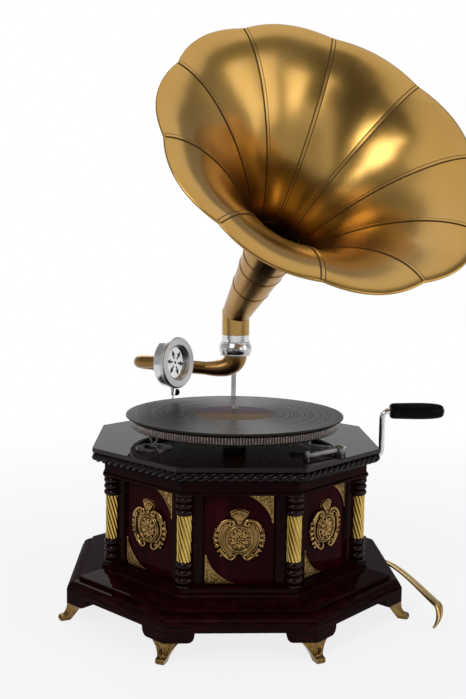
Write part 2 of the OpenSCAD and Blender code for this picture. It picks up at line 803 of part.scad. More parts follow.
module crank_bush() {
    x0 = wall_in;
    x1 = frieze_flat - 2;
    color(brass) difference() {
        union() {
            along_x(x0) cylinder(r = bush_r, h = x1 - x0);
            along_x(x1) cylinder(r1 = bush_r - 0.4, r2 = bush_r - 1.4, h = bush_flange_t);
        }
        along_x(x0 - 1) cylinder(r = shaft_r + run_gap, h = x1 - x0 + bush_flange_t + 2);
    }
}

module winding_shaft() {
    x0 = pinion_x - pinion_w / 2 - 2;
    color(steel) difference() {
        union() {
            along_x(x0) cylinder(r = shaft_r, h = shaft_end - x0);
            along_x(pinion_x - pinion_w / 2) gear(pinion_teeth, pinion_w, shaft_r - 1);
        }
        along_x(shaft_end - socket_l) cylinder(r = rod_r + run_gap, h = socket_l + 1);
    }
}

module quarter_bend() {
    rotate_extrude(angle = 90) translate([rod_bend, 0]) circle(r = rod_r);
}

// Bent rod: into the winding shaft, up the crank's throw and out through the grip
module crank_rod() {
    x0 = shaft_end - socket_l + 1;
    top_z = crank_z + crank_throw;
    color(chrome) {
        along_x(x0) cylinder(r = rod_r, h = crank_x - rod_bend - x0);
        translate([crank_x - rod_bend, 0, crank_z + rod_bend]) rotate([90, 0, 0]) rotate(-90) quarter_bend();
        translate([crank_x, 0, crank_z + rod_bend]) cylinder(r = rod_r, h = crank_throw - 2 * rod_bend);
        translate([crank_x + rod_bend, 0, top_z - rod_bend]) rotate([90, 0, 0]) rotate(90) quarter_bend();
        translate([crank_x + rod_bend, 0, top_z]) rotate([0, 90, 0]) cylinder(r = rod_r, h = grip_l + 1);
        translate([crank_x + rod_bend + grip_l + 1.2, 0, top_z]) rotate([0, 90, 0]) cylinder(r = rod_r + 1, h = 1);
        translate([crank_x + rod_bend + grip_l + 1, 0, top_z]) rotate([0, 90, 0]) cylinder(r = rod_r, h = 0.2);
    }
}

module crank_grip() {
    color(ebonite) translate([crank_x + rod_bend + 1, 0, crank_z + crank_throw]) rotate([0, 90, 0])
        rotate_extrude() polygon(concat(
            [[rod_r + run_gap, 0], [grip_r - 3.2, 0]],
            bezier2([grip_r - 2, 0.6], [grip_r - 0.4, 2], [grip_r - 0.6, 8], 3),
            bezier2([grip_r, grip_l * 0.6], [grip_r, grip_l - 4], [grip_r - 4, grip_l], 4),
            [[rod_r + run_gap, grip_l]]));
}

// Motor

module motor_plate() {
    window = [pinion_w + 3, 2 * pitch_r(pinion_teeth) + 6];
    color(steel) translate([0, 0, plate_z]) linear_extrude(plate_t) difference() {
        plate2d();
        motor_bores();
        translate([pinion_x, 0]) square(window, center = true);
    }
}

module lower_plate() {
    color(steel) translate([0, 0, lower_z]) linear_extrude(plate_t) difference() {
        plate2d();
        motor_bores();
    }
}

module plate2d() {
    low = pillar_places[0] - [7, 7];
    high = pillar_places[3] + [7, 7];
    polygon([low, [high[0], pillar_places[2][1] - 7], high, [low[0], pillar_places[1][1] + 7]]);
}

module motor_bores() {
    circle(r = spindle_r + run_gap);
    translate([barrel_x, 0]) circle(r = arbor_r + run_gap);
    translate(inter_place) circle(r = inter_r + run_gap);
    translate(gov_place) circle(r = gov_r + run_gap);
}

module motor_pillars() {
    color(steel) for (p = pillar_places) translate([p[0], p[1], lower_top]) cylinder(r = pillar_r, h = motor_h);
}

module shaft_bearing() {
    w = 2 * shaft_r + 8;
    color(steel) difference() {
        translate([bearing_x[0], -w / 2, crank_z - shaft_r - 4])
            cube([bearing_x[1] - bearing_x[0], w, plate_z - crank_z + shaft_r + 4]);
        along_x(bearing_x[0] - 1) cylinder(r = shaft_r + run_gap, h = bearing_x[1] - bearing_x[0] + 2);
    }
}

module barrel_arbor() {
    color(steel) translate([barrel_x, 0, lower_z]) cylinder(r = arbor_r, h = plate_z + plate_t - lower_z - seat_gap);
}

// Crown wheel: blade teeth stand up to the winding pinion
module crown_wheel() {
    r = pitch_r(crown_teeth);
    blade_t = 1;
    blade_l = pinion_w + 2;
    color(brass) translate([barrel_x, 0, crown_z]) {
        difference() {
            cylinder(r = r + blade_l / 2 + 0.6, h = crown_t);
            translate([0, 0, -1]) cylinder(r = arbor_r, h = crown_t + 2);
        }
        translate([0, 0, crown_t - 0.1]) linear_extrude(tooth_up + tooth_down + 0.1) for (i = [0:crown_teeth - 1])
            rotate(360 * (i + 0.5) / crown_teeth) translate([r - blade_l / 2, -blade_t / 2]) square([blade_l, blade_t]);
    }
}

module spring_barrel() {
    color(brass) translate([barrel_x, 0, 0]) {
        translate([0, 0, barrel_z]) rotate(inter_barrel_angle + 180 + 180 / barrel_teeth)
            gear(barrel_teeth, barrel_gear_t, arbor_r + run_gap);
        translate([0, 0, drum_z - 0.1]) linear_extrude(drum_top - drum_z + 0.1) difference() {
            circle(r = drum_r);
            circle(r = drum_r - drum_wall);
        }
    }
}

module barrel_cap() {
    color(brass) translate([barrel_x, 0, drum_top]) linear_extrude(cap_t) difference() {
        circle(r = drum_r);
        circle(r = arbor_r + run_gap);
    }
}

// Flat strip wound from the arbor out to the drum
module mainspring() {
    r0 = arbor_r + 1;
    strip_t = 0.8;
    r1 = drum_r - drum_wall - strip_t - 0.2;
    steps = 16 * spring_turns;
    color(steel) translate([barrel_x, 0, drum_z + 0.2]) linear_extrude(drum_top - drum_z - 0.4) polygon(concat(
        [for (i = [0:steps]) (r0 + (r1 - r0) * i / steps) * [cos(22.5 * i), sin(22.5 * i)]],
        [for (i = [steps:-1:0]) (r0 + strip_t + (r1 - r0) * i / steps) * [cos(22.5 * i), sin(22.5 * i)]]));
}

module intermediate_wheel() {
    color(brass) translate([inter_place[0], inter_place[1], 0]) {
        translate([0, 0, lower_z]) cylinder(r = inter_r, h = plate_z + plate_t - lower_z - seat_gap);
        translate([0, 0, wheel_z]) rotate(inter_angle + 180 + 180 / inter_wheel_teeth)
            gear(inter_wheel_teeth, wheel_t, inter_r - 0.5);
        translate([0, 0, barrel_z - 1]) rotate(inter_barrel_angle)
            gear(inter_pinion_teeth, barrel_gear_t + 2, inter_r - 0.5);
    }
}

module governor_spindle() {
    color(steel) translate([gov_place[0], gov_place[1], 0]) {
        translate([0, 0, lower_z]) cylinder(r = gov_r, h = plate_z + plate_t - lower_z - seat_gap);
        translate([0, 0, gov_gear_z - 1]) rotate(gov_angle + 180 + 180 / gov_pinion_teeth)
            gear(gov_pinion_teeth, wheel_t + 2, gov_r - 0.5);
    }
}

// Three weights on leaf springs between a fixed collar and the friction disc
module governor_weights() {
    flange_r = 11;
    flange_t = 2;
    span = 18;
    z = gov_gear_z + wheel_t + 6;
    color(brass) translate([gov_place[0], gov_place[1], z]) {
        for (h = [0, span]) translate([0, 0, h]) linear_extrude(flange_t) difference() {
            circle(r = flange_r);
            circle(r = gov_r);
        }
        for (a = [0, 120, 240]) rotate(a) {
            translate([flange_r - 2, -2, flange_t - 0.1]) cube([0.8, 4, span - flange_t + 0.2]);
            translate([flange_r - 1, 0, (span + flange_t) / 2]) sphere(r = 4);
        }
    }
}

// Turntable

// Shaft to the record, pin through the record's hole and a free end to guide it on
module spindle() {
    lead_h = 2;
    pin_ease = 0.2;
    color(steel) {
        translate([0, 0, lower_z]) cylinder(r = spindle_r, h = record_z - lower_z);
        translate([0, 0, record_z - 0.1]) cylinder(r = pin_r, h = record_t + 0.1);
        translate([0, 0, record_top - 0.1]) cylinder(r = pin_r - pin_ease, h = pin_h - lead_h + 0.1);
        translate([0, 0, record_top + pin_h - lead_h]) cylinder(r1 = pin_r - pin_ease, r2 = pin_r - 1.6, h = lead_h);
    }
}

module spindle_gears() {
    color(brass) {
        translate([0, 0, wheel_z - 1]) rotate(inter_angle) gear(spindle_teeth, wheel_t + 2, spindle_r);
        translate([0, 0, gov_gear_z]) rotate(gov_angle) gear(gov_wheel_teeth, wheel_t, spindle_r);
    }
}

module platter() {
    hub_r = 14;
    color(steel) translate([0, 0, platter_z]) rotate_extrude() polygon([
        [spindle_r, -2], [hub_r, -2], [hub_r, platter_h - platter_web], [platter_r - rim_t, platter_h - platter_web],
        [platter_r - rim_t, 0], [platter_r - 1, 0], [platter_r, 1], [platter_r, platter_h - 1.2],
        [platter_r - 1.2, platter_h], [spindle_r, platter_h]]);
}

module felt_mat() {
    color("#3b2a24") translate([0, 0, mat_z]) linear_extrude(mat_t) difference() {
        circle(r = platter_r - 1);
        circle(r = spindle_r);
    }
}

module record() {
    bead = 0.5;
    color(ebonite) translate([0, 0, record_z]) rotate_extrude() polygon([
        [pin_r + run_gap, 0], [record_r - bead, 0], [record_r, bead], [record_r, record_t - bead],
        [record_r - bead, record_t], [label_r, record_t], [label_r, record_t - label_t],
        [pin_r + run_gap, record_t - label_t]]);
}

module record_label() {
    color("#6d5560") translate([0, 0, record_top - label_t]) linear_extrude(label_t) difference() {
        circle(r = label_r);
        circle(r = pin_r + run_gap);
    }
}

// Deck fittings

lever_shaft_r = 2.5;

module speed_dial() {
    color(steel) translate([dial_place[0], dial_place[1], deck_z]) linear_extrude(dial_t) difference() {
        circle(r = dial_r);
        circle(r = dial_r - 8);
    }
}

// Key with a ring bow on a shaft through the deck, and a pointer over the dial
module speed_lever() {
    bow_r = 3.4;
    wire_r = 1;
    hub_z = deck_z + dial_t + part_gap;
    color(steel) translate([dial_place[0], dial_place[1], 0]) {
        translate([0, 0, plate_z + plate_t]) cylinder(r = lever_shaft_r, h = hub_z + 4 - sub_z);
        translate([0, 0, hub_z]) cylinder(r = 2 * lever_shaft_r, h = 2);
        for (a = [-70, -30]) rotate(a) translate([0, -0.6, hub_z]) cube([dial_r - 2, 1.2, 1]);
        translate([0, 0, hub_z + 4 + bow_r]) rotate([90, 0, 0]) rotate_extrude() translate([bow_r, 0]) circle(r = wire_r);
    }
}

module brake_post() {
    color(steel) translate([brake_place[0], brake_place[1], deck_z]) {
        cylinder(r = 2 * brake_post_r, h = lever_z - deck_z - seat_gap);
        cylinder(r = brake_post_r, h = lever_z - deck_z + lever_t + 1);
        translate([0, 0, lever_z - deck_z + lever_t + seat_gap])
            cylinder(r1 = 1.6 * brake_post_r, r2 = brake_post_r, h = 2);
    }
}

// Bell crank: a handle towards the front, and an arm with a felt pad under the platter's rim
module brake_lever() {
    hub_r = 2 * brake_post_r + 1;
    handle = brake_handle - brake_place;
    handle_len = norm(handle);
    arm_w = 5;
    color(steel) translate([brake_place[0], brake_place[1], lever_z]) {
        linear_extrude(lever_t) difference() {
            union() {
                circle(r = hub_r);
                rotate(atan2(handle[1], handle[0])) translate([0, -arm_w / 2]) square([handle_len, arm_w]);
                translate(handle) circle(r = arm_w / 2 + 0.4);
                rotate(brake_arm_angle) translate([0, -arm_w / 2]) square([brake_arm_len, arm_w]);
            }
            circle(r = brake_post_r + run_gap);
        }
        translate([handle[0], handle[1], lever_t - 0.1]) cylinder(r = arm_w / 2, h = 2.6);
        rotate(brake_arm_angle) translate([brake_pad_at, 0, lever_t - 0.1])
            cylinder(r = brake_pad_r, h = platter_z + platter_h - platter_web - 1.5 - lever_z - lever_t + 0.1);
    }
}

// Tone arm

module arm_stem() {
    color(chrome) translate([pivot_x, pivot_y, collar_z]) {
        difference() {
            union() {
                cylinder(r = stem_r, h = stem_h);
                translate([0, 0, stem_h]) cylinder(r = stem_r, h = 1.2);
                translate([0, 0, stem_h + 1.2]) cylinder(r = neck_r - tube_wall - part_gap, h = 1.2);
            }
            translate([0, 0, -1]) cylinder(r = stem_r - 2, h = stem_h + 5);
        }
    }
}

// Tapered bend from the collar to the arm's tube
module arm_elbow() {
    sides = 18;
    steps = 9;
    top = [0, 0, collar_z - seat_gap];
    path = bezier2(top, [0, 0, tube_start[2] - elbow_reach * tan(arm_rise)], tube_start, steps);
    function ring(i, wall) =
        let (t = i == 0 ? [0, 0, -1] : i == steps ? arm_axis : unit(path[i + 1] - path[i - 1]),
             up = cross([0, 1, 0], t),
             r = elbow_r + (arm_r - elbow_r) * sin(90 * i / steps) - wall)
        [for (j = [0:sides - 1]) path[i] + r * (cos(360 * j / sides) * [0, 1, 0] + sin(360 * j / sides) * up)];
    color(brass) translate(pivot)
        pipe_loft([for (i = [0:steps]) ring(i, 0)], [for (i = [0:steps]) ring(i, arm_r - arm_bore_r)]);
}

module arm_tube() {
    color(brass) translate(pivot + tube_start + arm_axis * seat_gap) rotate([0, -90 + arm_rise, 0])
        linear_extrude(norm(arm_end - tube_start) - seat_gap) difference() {
            circle(r = arm_r);
            circle(r = arm_bore_r);
        }
}

// Swan-neck bend and leg, with a spigot that turns in the arm's tube
module gooseneck_tube() {
    sides = 18;
    bend_steps = 9;
    start = [part_gap, 0, 0];
    path = concat(
        [for (i = [0:bend_steps]) let (a = neck_turn * i / bend_steps)
            start + neck_bend_r * [sin(a), 1 - cos(a), 0]],
        [start + bend_end + leg_dir * (neck_leg - 1)]);
    function ring(i, r) =
        let (a = neck_turn * min(i, bend_steps) / bend_steps, out = [-sin(a), cos(a), 0])
        [for (j = [0:sides - 1]) path[i] + r * (cos(360 * j / sides) * out + sin(360 * j / sides) * [0, 0, 1])];
    color(brass) in_gooseneck() {
        translate([-spigot_l, 0, 0]) rotate([0, 90, 0]) linear_extrude(spigot_l + part_gap) difference() {
            circle(r = spigot_r);
            circle(r = spigot_r - 1.2);
        }
        pipe_loft([for (i = [0:bend_steps + 1]) ring(i, neck_tube_r)],
                  [for (i = [0:bend_steps + 1]) ring(i, spigot_r - 1.5)]);
    }
}

// Sound box

module sound_box_case() {
    wall = 3;
    color(chrome) in_sound_box() difference() {
        translate([0, 0, box_back]) rotate_extrude() polygon([
            [spigot_r - 1.2, 0], [box_r - 3, 0], [box_r - 1, 2], [box_r - 1, box_depth], [box_r - 1 - wall, box_depth],
            [box_r - 1 - wall, wall], [spigot_r - 1.2, wall]]);
        translate([box_r - 2 - wall, -bar_w / 2 - part_gap, bar_z - part_gap])
            cube([wall + 3, bar_w + 2 * part_gap, bar_t + 2 * part_gap]);
    }
}

module sound_box_ring() {
    color(chrome) in_sound_box() translate([0, 0, box_back + box_depth + seat_gap]) rotate_extrude() polygon([
        [ring_bore_r, 0], [box_r, 0], [box_r, ring_t - 1.5], [box_r - 1.5, ring_t], [ring_bore_r + 2.5, ring_t],
        [ring_bore_r, ring_t - 2.5]]);
}

// Plate with six arrow-shaped slots round a centre hole
module sound_box_grille() {
    t = 1;
    color(chrome) in_sound_box() translate([0, 0, box_back + box_depth - t]) linear_extrude(t) difference() {
        circle(r = box_r - 4.3);
        circle(r = 1.4);
        for (a = [30:60:330]) rotate(a) {
            translate([6.5, -0.9]) square([6, 1.8]);
            polygon([[10.5, -2.6], [16.5, 0], [10.5, 2.6]]);
        }
    }
}

module diaphragm() {
    color("#d8d0b8") in_sound_box() translate([0, 0, diaphragm_z]) cylinder(r = diaphragm_r, h = diaphragm_t);
}

module gaskets() {
    low = box_back + 3;
    high = diaphragm_z + diaphragm_t;
    color(ebonite) in_sound_box() for (z = [[low, diaphragm_z], [high, high + 1.5]]) translate([0, 0, z[0]])
        linear_extrude(z[1] - z[0]) difference() {
            circle(r = box_r - 4.3);
            circle(r = diaphragm_r - 3);
        }
}

// Holder for the needle, with the bar through the case that drives the diaphragm's centre
module stylus_bar() {
    root = box_r + seat_gap;
    clamp_x = box_r + holder_l / 2;
    color(chrome) in_sound_box() {
        difference() {
            union() {
                translate([root, 0, holder_z]) rotate([0, 90, 0]) cylinder(r = holder_r, h = holder_l);
                translate([-1, -bar_w / 2, bar_z]) cube([box_r + 3, bar_w, bar_t]);
            }
            translate([root + 2, 0, holder_z]) rotate([0, 90, 0]) cylinder(r = needle_r + 0.02, h = holder_l);
            translate([clamp_x, 0, holder_z]) rotate([-90, 0, 0]) cylinder(r = needle_r + run_gap, h = 2 * holder_r);
        }
        translate([0, 0, diaphragm_z + diaphragm_t + run_gap]) cylinder(r = 0.8, h = bar_z - diaphragm_z - diaphragm_t);
    }
}

module needle() {
    tip = 4;
    start = box_r + holder_l / 2 - 2;
    color(steel) in_sound_box() translate([0, 0, holder_z]) rotate([0, 90, 0]) {
        translate([0, 0, start]) cylinder(r = needle_r, h = needle_len - tip - start);
        translate([0, 0, needle_len - tip]) cylinder(r1 = needle_r, r2 = 0.15, h = tip);
    }
}

module needle_screw() {
    color(ebonite) in_sound_box() translate([box_r + holder_l / 2, 0, holder_z]) rotate([-90, 0, 0]) {
        translate([0, 0, needle_r + part_gap]) cylinder(r = needle_r, h = holder_r);
        translate([0, 0, holder_r + part_gap]) cylinder(r = screw_knob_r, h = 4.5);
    }
}

// Horn

module horn_ferrule() {
    color(chrome) translate([pivot_x, pivot_y, 0]) difference() {
        union() {
            translate([0, 0, collar_top + seat_gap]) cylinder(r = neck_r, h = ferrule_h);
            translate([0, 0, collar_top - 5]) cylinder(r = neck_r - tube_wall, h = 6);
        }
        translate([0, 0, collar_top - 6]) cylinder(r = neck_r - ferrule_wall, h = ferrule_h + 8);
    }
}

// Upright tube cut square to the mitre
module horn_elbow() {
    low = collar_top + ferrule_h + 2 * seat_gap;
    color(brass) difference() {
        translate([pivot_x, pivot_y, low]) difference() {
            cylinder(r = neck_r, h = 2 * mitre_rise);
            translate([0, 0, -1]) cylinder(r = neck_r - tube_wall, h = 2 * mitre_rise + 2);
        }
        translate(mitre) rotate([0, horn_lean / 2, horn_heading]) translate([-200, -200, 0]) cube(400);
    }
}

// Tapered neck with raised ring seams, its foot cut to the mitre
module horn_neck() {
    sides = 32;
    slope = (throat_r - neck_r) / throat_s;
    seams = [62, 100, 122];
    seam_w = 2;
    seam_h = 0.7;
    end = throat_s - seat_gap;
    function r(s) = neck_r + slope * s;
    function ring(s, r) = [for (j = [0:sides - 1]) let (a = -360 * (j + 0.5) / sides) [r * cos(a), r * sin(a), s]];
    // Ring on the mitre plane: the wall's straight lines are followed down to the plane
    function foot_ring(wall) = [for (j = [0:sides - 1]) let (
        a = -360 * (j + 0.5) / sides,
        k = tan(horn_lean / 2) * cos(a),
        s = (seat_gap + k * (neck_r - wall)) / (1 - k * slope))
        [(r(s) - wall) * cos(a), (r(s) - wall) * sin(a), s]];
    color(brass) in_horn() pipe_loft(
        concat([foot_ring(0)],
            [for (s = seams) each [ring(s, r(s)), ring(s + 0.3, r(s) + seam_h),
                ring(s + seam_w - 0.3, r(s) + seam_h), ring(s + seam_w, r(s + seam_w))]],
            [ring(end, r(end))]),
        [foot_ring(tube_wall), ring(end, r(end) - tube_wall)]);
}

// Half the outline of the bell at a seam: distance along the axis and radius
function bell_line() = concat(
    bezier3([throat_s, throat_r], [throat_s + 90, throat_r + 27], [crease_s - 27, crease_r - 44],
            [crease_s, crease_r], petal_rows),
    [[crease_s + rim_forward * 0.5, (crease_r + rim_r) / 2], [crease_s + rim_forward, rim_r],
     [crease_s + rim_forward + 0.2, rim_r + 1.2]]);

// Ten sheet petals with a crease, a scalloped lip and a rolled rim
module horn_bell() {
    line = bell_line();
    last = len(line) - 1;
    step = 360 / petals;
    function normal(i) = let (d = unit(line[min(i + 1, last)] - line[max(i - 1, 0)])) [-d[1], d[0]];
    function bulge(i) = scallop * pow(max(0, (line[i][1] - throat_r) / (rim_r - throat_r)), 2);
    function place(i, f, t) =
        let (w = sin(180 * f), gap = 0.06 * (f - 0.5) * -2,
             n = i == 0 ? [0, 1] : normal(i),
             s = line[i][0] + t * n[0],
             r = line[i][1] + bulge(i) * w + t * n[1],
             a = step * f)
        [r * cos(a) - gap * sin(a), r * sin(a) + gap * cos(a), s];
    function thick(i) = i < last - 1 ? sheet_t : roll_t;
    color(brass) in_horn() for (k = [0:petals - 1]) rotate(petal_turn + step * k) sheet(
        [for (i = [0:last]) [for (j = [0:petal_cols]) place(i, j / petal_cols, 0)]],
        [for (i = [0:last]) [for (j = [0:petal_cols]) place(i, j / petal_cols, thick(i))]]);
}

feet();
corner_blocks();
plinth();
bottom_board();
corner_posts();
side_panels();
column_turnings();
column_spirals();
spandrels();
cartouches();
frieze();
top_board();
rope_moulding();
rear_bracket();
bracket_screws();
collar();
side_stay();
crank_bush();
motor_plate();
lower_plate();
motor_pillars();
shaft_bearing();
speed_dial();
brake_post();
platter();
felt_mat();
record();
record_label();
spindle();
spindle_gears();
arm_stem();
arm_elbow();
arm_tube();
gooseneck_tube();
sound_box_case();
sound_box_ring();
sound_box_grille();
diaphragm();
gaskets();
stylus_bar();
needle();
needle_screw();
crank_rod();
winding_shaft();
crank_grip();
barrel_arbor();
crown_wheel();
spring_barrel();
barrel_cap();
mainspring();
intermediate_wheel();
governor_spindle();
governor_weights();
speed_lever();
brake_lever();
horn_ferrule();
horn_elbow();
horn_neck();
horn_bell();
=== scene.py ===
import math

import bmesh
import bpy
from mathutils import Matrix, Vector


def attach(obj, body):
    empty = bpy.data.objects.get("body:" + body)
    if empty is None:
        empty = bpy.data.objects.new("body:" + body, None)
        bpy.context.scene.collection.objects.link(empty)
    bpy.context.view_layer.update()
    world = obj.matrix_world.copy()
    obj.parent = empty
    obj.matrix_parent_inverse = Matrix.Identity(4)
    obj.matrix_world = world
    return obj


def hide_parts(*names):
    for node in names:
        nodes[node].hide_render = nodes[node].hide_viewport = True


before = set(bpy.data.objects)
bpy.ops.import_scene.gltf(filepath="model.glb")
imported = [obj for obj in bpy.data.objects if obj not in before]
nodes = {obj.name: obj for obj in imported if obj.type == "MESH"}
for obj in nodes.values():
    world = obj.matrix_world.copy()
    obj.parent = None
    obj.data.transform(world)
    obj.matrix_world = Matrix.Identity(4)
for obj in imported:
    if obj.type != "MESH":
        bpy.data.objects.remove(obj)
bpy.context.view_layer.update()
scene = bpy.context.scene
scene.view_settings.view_transform = "Standard"
mm = 0.001
print("stage: frame loaded,", len(nodes), "nodes")

# camera first, at the photograph's place
view = {"place": (-0.0522, -1.0785, 0.4112), "yaw": 2.61, "pitch": -6.22, "roll": 0.77, "lens": 47.96,
        "sensor": 36}


def aimCamera(spec):
    yaw, pitch, roll = (math.radians(spec[k]) for k in ("yaw", "pitch", "roll"))
    ahead = Vector((math.sin(yaw) * math.cos(pitch), math.cos(yaw) * math.cos(pitch), math.sin(pitch)))
    right = Vector((math.cos(yaw), -math.sin(yaw), 0))
    up = right.cross(ahead)
    across = right * math.cos(roll) + up * math.sin(roll)
    tall = up * math.cos(roll) - right * math.sin(roll)
    data = bpy.data.cameras.new("camera")
    data.lens = spec["lens"]
    data.sensor_width = spec["sensor"]
    camera = bpy.data.objects.new("camera", data)
    turn = Matrix((across, tall, -ahead)).transposed()
    camera.matrix_world = Matrix.Translation(spec["place"]) @ turn.to_4x4()
    scene.collection.objects.link(camera)
    scene.camera = camera


aimCamera(view)


# node helpers: an input is a number, a vector, a colour or another node's output
def setInputs(tree, node, inputs):
    for key, value in inputs.items():
        socket = node.inputs[key]
        if isinstance(value, bpy.types.NodeSocket):
            tree.links.new(value, socket)
        else:
            socket.default_value = (*value, 1) if socket.type == "RGBA" else value


def addNode(tree, kind, inputs, **settings):
    node = tree.nodes.new("ShaderNode" + kind)
    for key, value in settings.items():
        setattr(node, key, value)
    setInputs(tree, node, inputs)
    return node.outputs


def addMath(tree, operation, *values):
    return addNode(tree, "Math", dict(enumerate(values)), operation=operation)[0]


def addNoise(tree, source, scale, detail, stretch=(1, 1, 1), distort=0.0):
    mapped = addNode(tree, "Mapping", {"Vector": source, "Scale": stretch})[0]
    inputs = {"Vector": mapped, "Scale": scale, "Detail": detail, "Distortion": distort}
    return addNode(tree, "TexNoise", inputs)["Fac"]


def addRamp(tree, source, places, colours):
    ramp = tree.nodes.new("ShaderNodeValToRGB")
    elements = ramp.color_ramp.elements
    while len(elements) < len(places):
        elements.new(0.5)
    for element, place, colour in zip(elements, places, colours):
        element.position = place
        element.color = (*colour, 1)
    setInputs(tree, ramp, {"Fac": source})
    return ramp.outputs["Color"]


def addRange(tree, source, low, high, fromLow=0.3, fromHigh=0.7):
    inputs = {"Value": source, "From Min": fromLow, "From Max": fromHigh, "To Min": low, "To Max": high}
    return addNode(tree, "MapRange", inputs)["Result"]


def addMix(tree, share, first, second):  # 6, 7 and output 2 are its colours
    return addNode(tree, "Mix", {0: share, 6: first, 7: second}, data_type="RGBA")[2]


def addBump(tree, shade, height, strength, distance, soften=None):
    inputs = {"Height": height, "Strength": strength, "Distance": distance}
    if soften:
        inputs["Normal"] = addNode(tree, "Bevel", {"Radius": soften}, samples=4)[0]
    setInputs(tree, shade, {"Normal": addNode(tree, "Bump", inputs)[0]})


def addSplit(tree, source):
    return addNode(tree, "SeparateXYZ", {0: source})


def addLength(tree, source):
    return addNode(tree, "VectorMath", {0: source}, operation="LENGTH")["Value"]


def addSpindleReach(tree, split):
    return addLength(tree, addNode(tree, "CombineXYZ", {"X": split["X"], "Y": split["Y"]})[0])


def addSeenRays(tree):
    path = addNode(tree, "LightPath", {})
    straight = addMath(tree, "MAXIMUM", path["Is Camera Ray"], path["Is Glossy Ray"])
    return path["Is Camera Ray"], addMath(tree, "MAXIMUM", straight, path["Is Transmission Ray"])


def mixShaders(tree, share, first, second, out):
    setInputs(tree, out, {"Surface": addNode(tree, "MixShader", {0: share, 1: first, 2: second})[0]})


# every finish starts from object coordinates
def startFinish(name, spec):
    mat = bpy.data.materials.new(name)
    mat.use_nodes = True
    tree = mat.node_tree
    shade = tree.nodes["Principled BSDF"]
    setInputs(tree, shade, {
        "Metallic": spec.get("metal", 0.0), "Coat Weight": spec.get("coat", 0.0),
        "Coat Roughness": spec.get("coatRough", 0.05), "Specular IOR Level": spec.get("gloss", 0.5)})
    return mat, tree, shade, addNode(tree, "TexCoord", {})["Object"]


# soft studio: pale floor, white all round for the camera, dimmer in mirrors
studio = {
    "floor": (0.66, 0.66, 0.66), "floorRough": 0.85, "floorSize": 30, "floorDrop": 0.0005,
    "floorGlow": (0.82, 1.0), "floorFade": (0.35, 1.1),
    "frontShare": 0.1, "frontNear": (-0.75, -0.35), "frontFar": (-1.6, -2.8),
    "ambient": 0.36, "overhead": 0.6, "overheadFrom": (0.28, 0.55),
    "rounds": [(0.00, 0.10), (0.06, 0.14), (0.26, 0.46), (0.72, 0.54), (0.90, 1.0)],
    "softboxes": {  # place, height aimed at, size, watts
        "key": ((-1.0, -1.6, 1.6), 0.4, (0.95, 0.95), 16),
        "window": ((1.15, -1.35, 0.72), 0.5, (0.55, 0.75), 3.4),
        "top": ((0.3, -0.2, 2.1), 0.2, (2.2, 1.6), 10),
        "side": ((1.9, -0.6, 0.9), 0.3, (0.8, 1.4), 6),
        "back": ((-0.6, 1.5, 1.2), 0.3, (0.8, 0.8), 8),
    },
}


def lightWorld(spec):
    world = bpy.data.worlds.new("studio")
    scene.world = world
    world.use_nodes = True
    tree = world.node_tree
    tree.nodes.clear()
    way = addSplit(tree, addNode(tree, "TexCoord", {})["Generated"])
    ahead = addRange(tree, way["Y"], 0.0, 1.0, -1.0, 1.0)
    places, shares = zip(*spec["rounds"])
    level = addRamp(tree, ahead, places, [(s, s, s) for s in shares])
    high = addRange(tree, way["Z"], 1.0, spec["overhead"], *spec["overheadFrom"])
    cameraRay, seen = addSeenRays(tree)
    shown = addMath(tree, "MAXIMUM", addMath(tree, "MULTIPLY", level, high), cameraRay)
    glows = [addNode(tree, "Background", {"Color": (1, 1, 1), "Strength": strength})[0]
             for strength in (spec["ambient"], shown)]
    mixShaders(tree, seen, *glows, tree.nodes.new("ShaderNodeOutputWorld"))


def hangSoftboxes(spec):
    for name, (place, height, size, power) in spec["softboxes"].items():
        lamp = bpy.data.lights.new(name, "AREA")
        lamp.shape = "RECTANGLE"
        lamp.size, lamp.size_y = size
        lamp.energy = power
        obj = bpy.data.objects.new(name, lamp)
        obj.location = place
        aim = Vector((0, 0, height)) - Vector(place)
        obj.rotation_euler = aim.to_track_quat("-Z", "Y").to_euler()
        scene.collection.objects.link(obj)


def floorFinish(spec):
    mat, tree, shade, place = startFinish("paleFloor", {})
    setInputs(tree, shade, {"Base Color": spec["floor"], "Roughness": spec["floorRough"]})
    fade = addRange(tree, addLength(tree, place), *spec["floorGlow"], *spec["floorFade"])
    ahead = addSplit(tree, place)["Y"]
    near = addRange(tree, ahead, spec["frontShare"], 1.0, *spec["frontNear"])  # darker before the object
    far = addRange(tree, ahead, 0.0, 1.0, *spec["frontFar"])
    cameraRay, seen = addSeenRays(tree)
    clear = addMath(tree, "MAXIMUM", addMath(tree, "MAXIMUM", near, far), cameraRay)
    share = addMath(tree, "MULTIPLY", seen, addMath(tree, "MULTIPLY", fade, clear))
    glow = addNode(tree, "Emission", {})[0]
    mixShaders(tree, share, shade.outputs[0], glow, tree.nodes["Material Output"])
    return mat


def layFloor(spec):
    bm = bmesh.new()
    bmesh.ops.create_grid(bm, x_segments=1, y_segments=1, size=spec["floorSize"])
    bmesh.ops.translate(bm, vec=(0, 0, -spec["floorDrop"]), verts=bm.verts)
    mesh = bpy.data.meshes.new("floor")
    bm.to_mesh(mesh)
    bm.free()
    mesh.materials.append(floorFinish(spec))
    floor = bpy.data.objects.new("floor", mesh)
    scene.collection.objects.link(floor)


lightWorld(studio)
hangSoftboxes(studio)
layFloor(studio)
print("stage: studio lit")

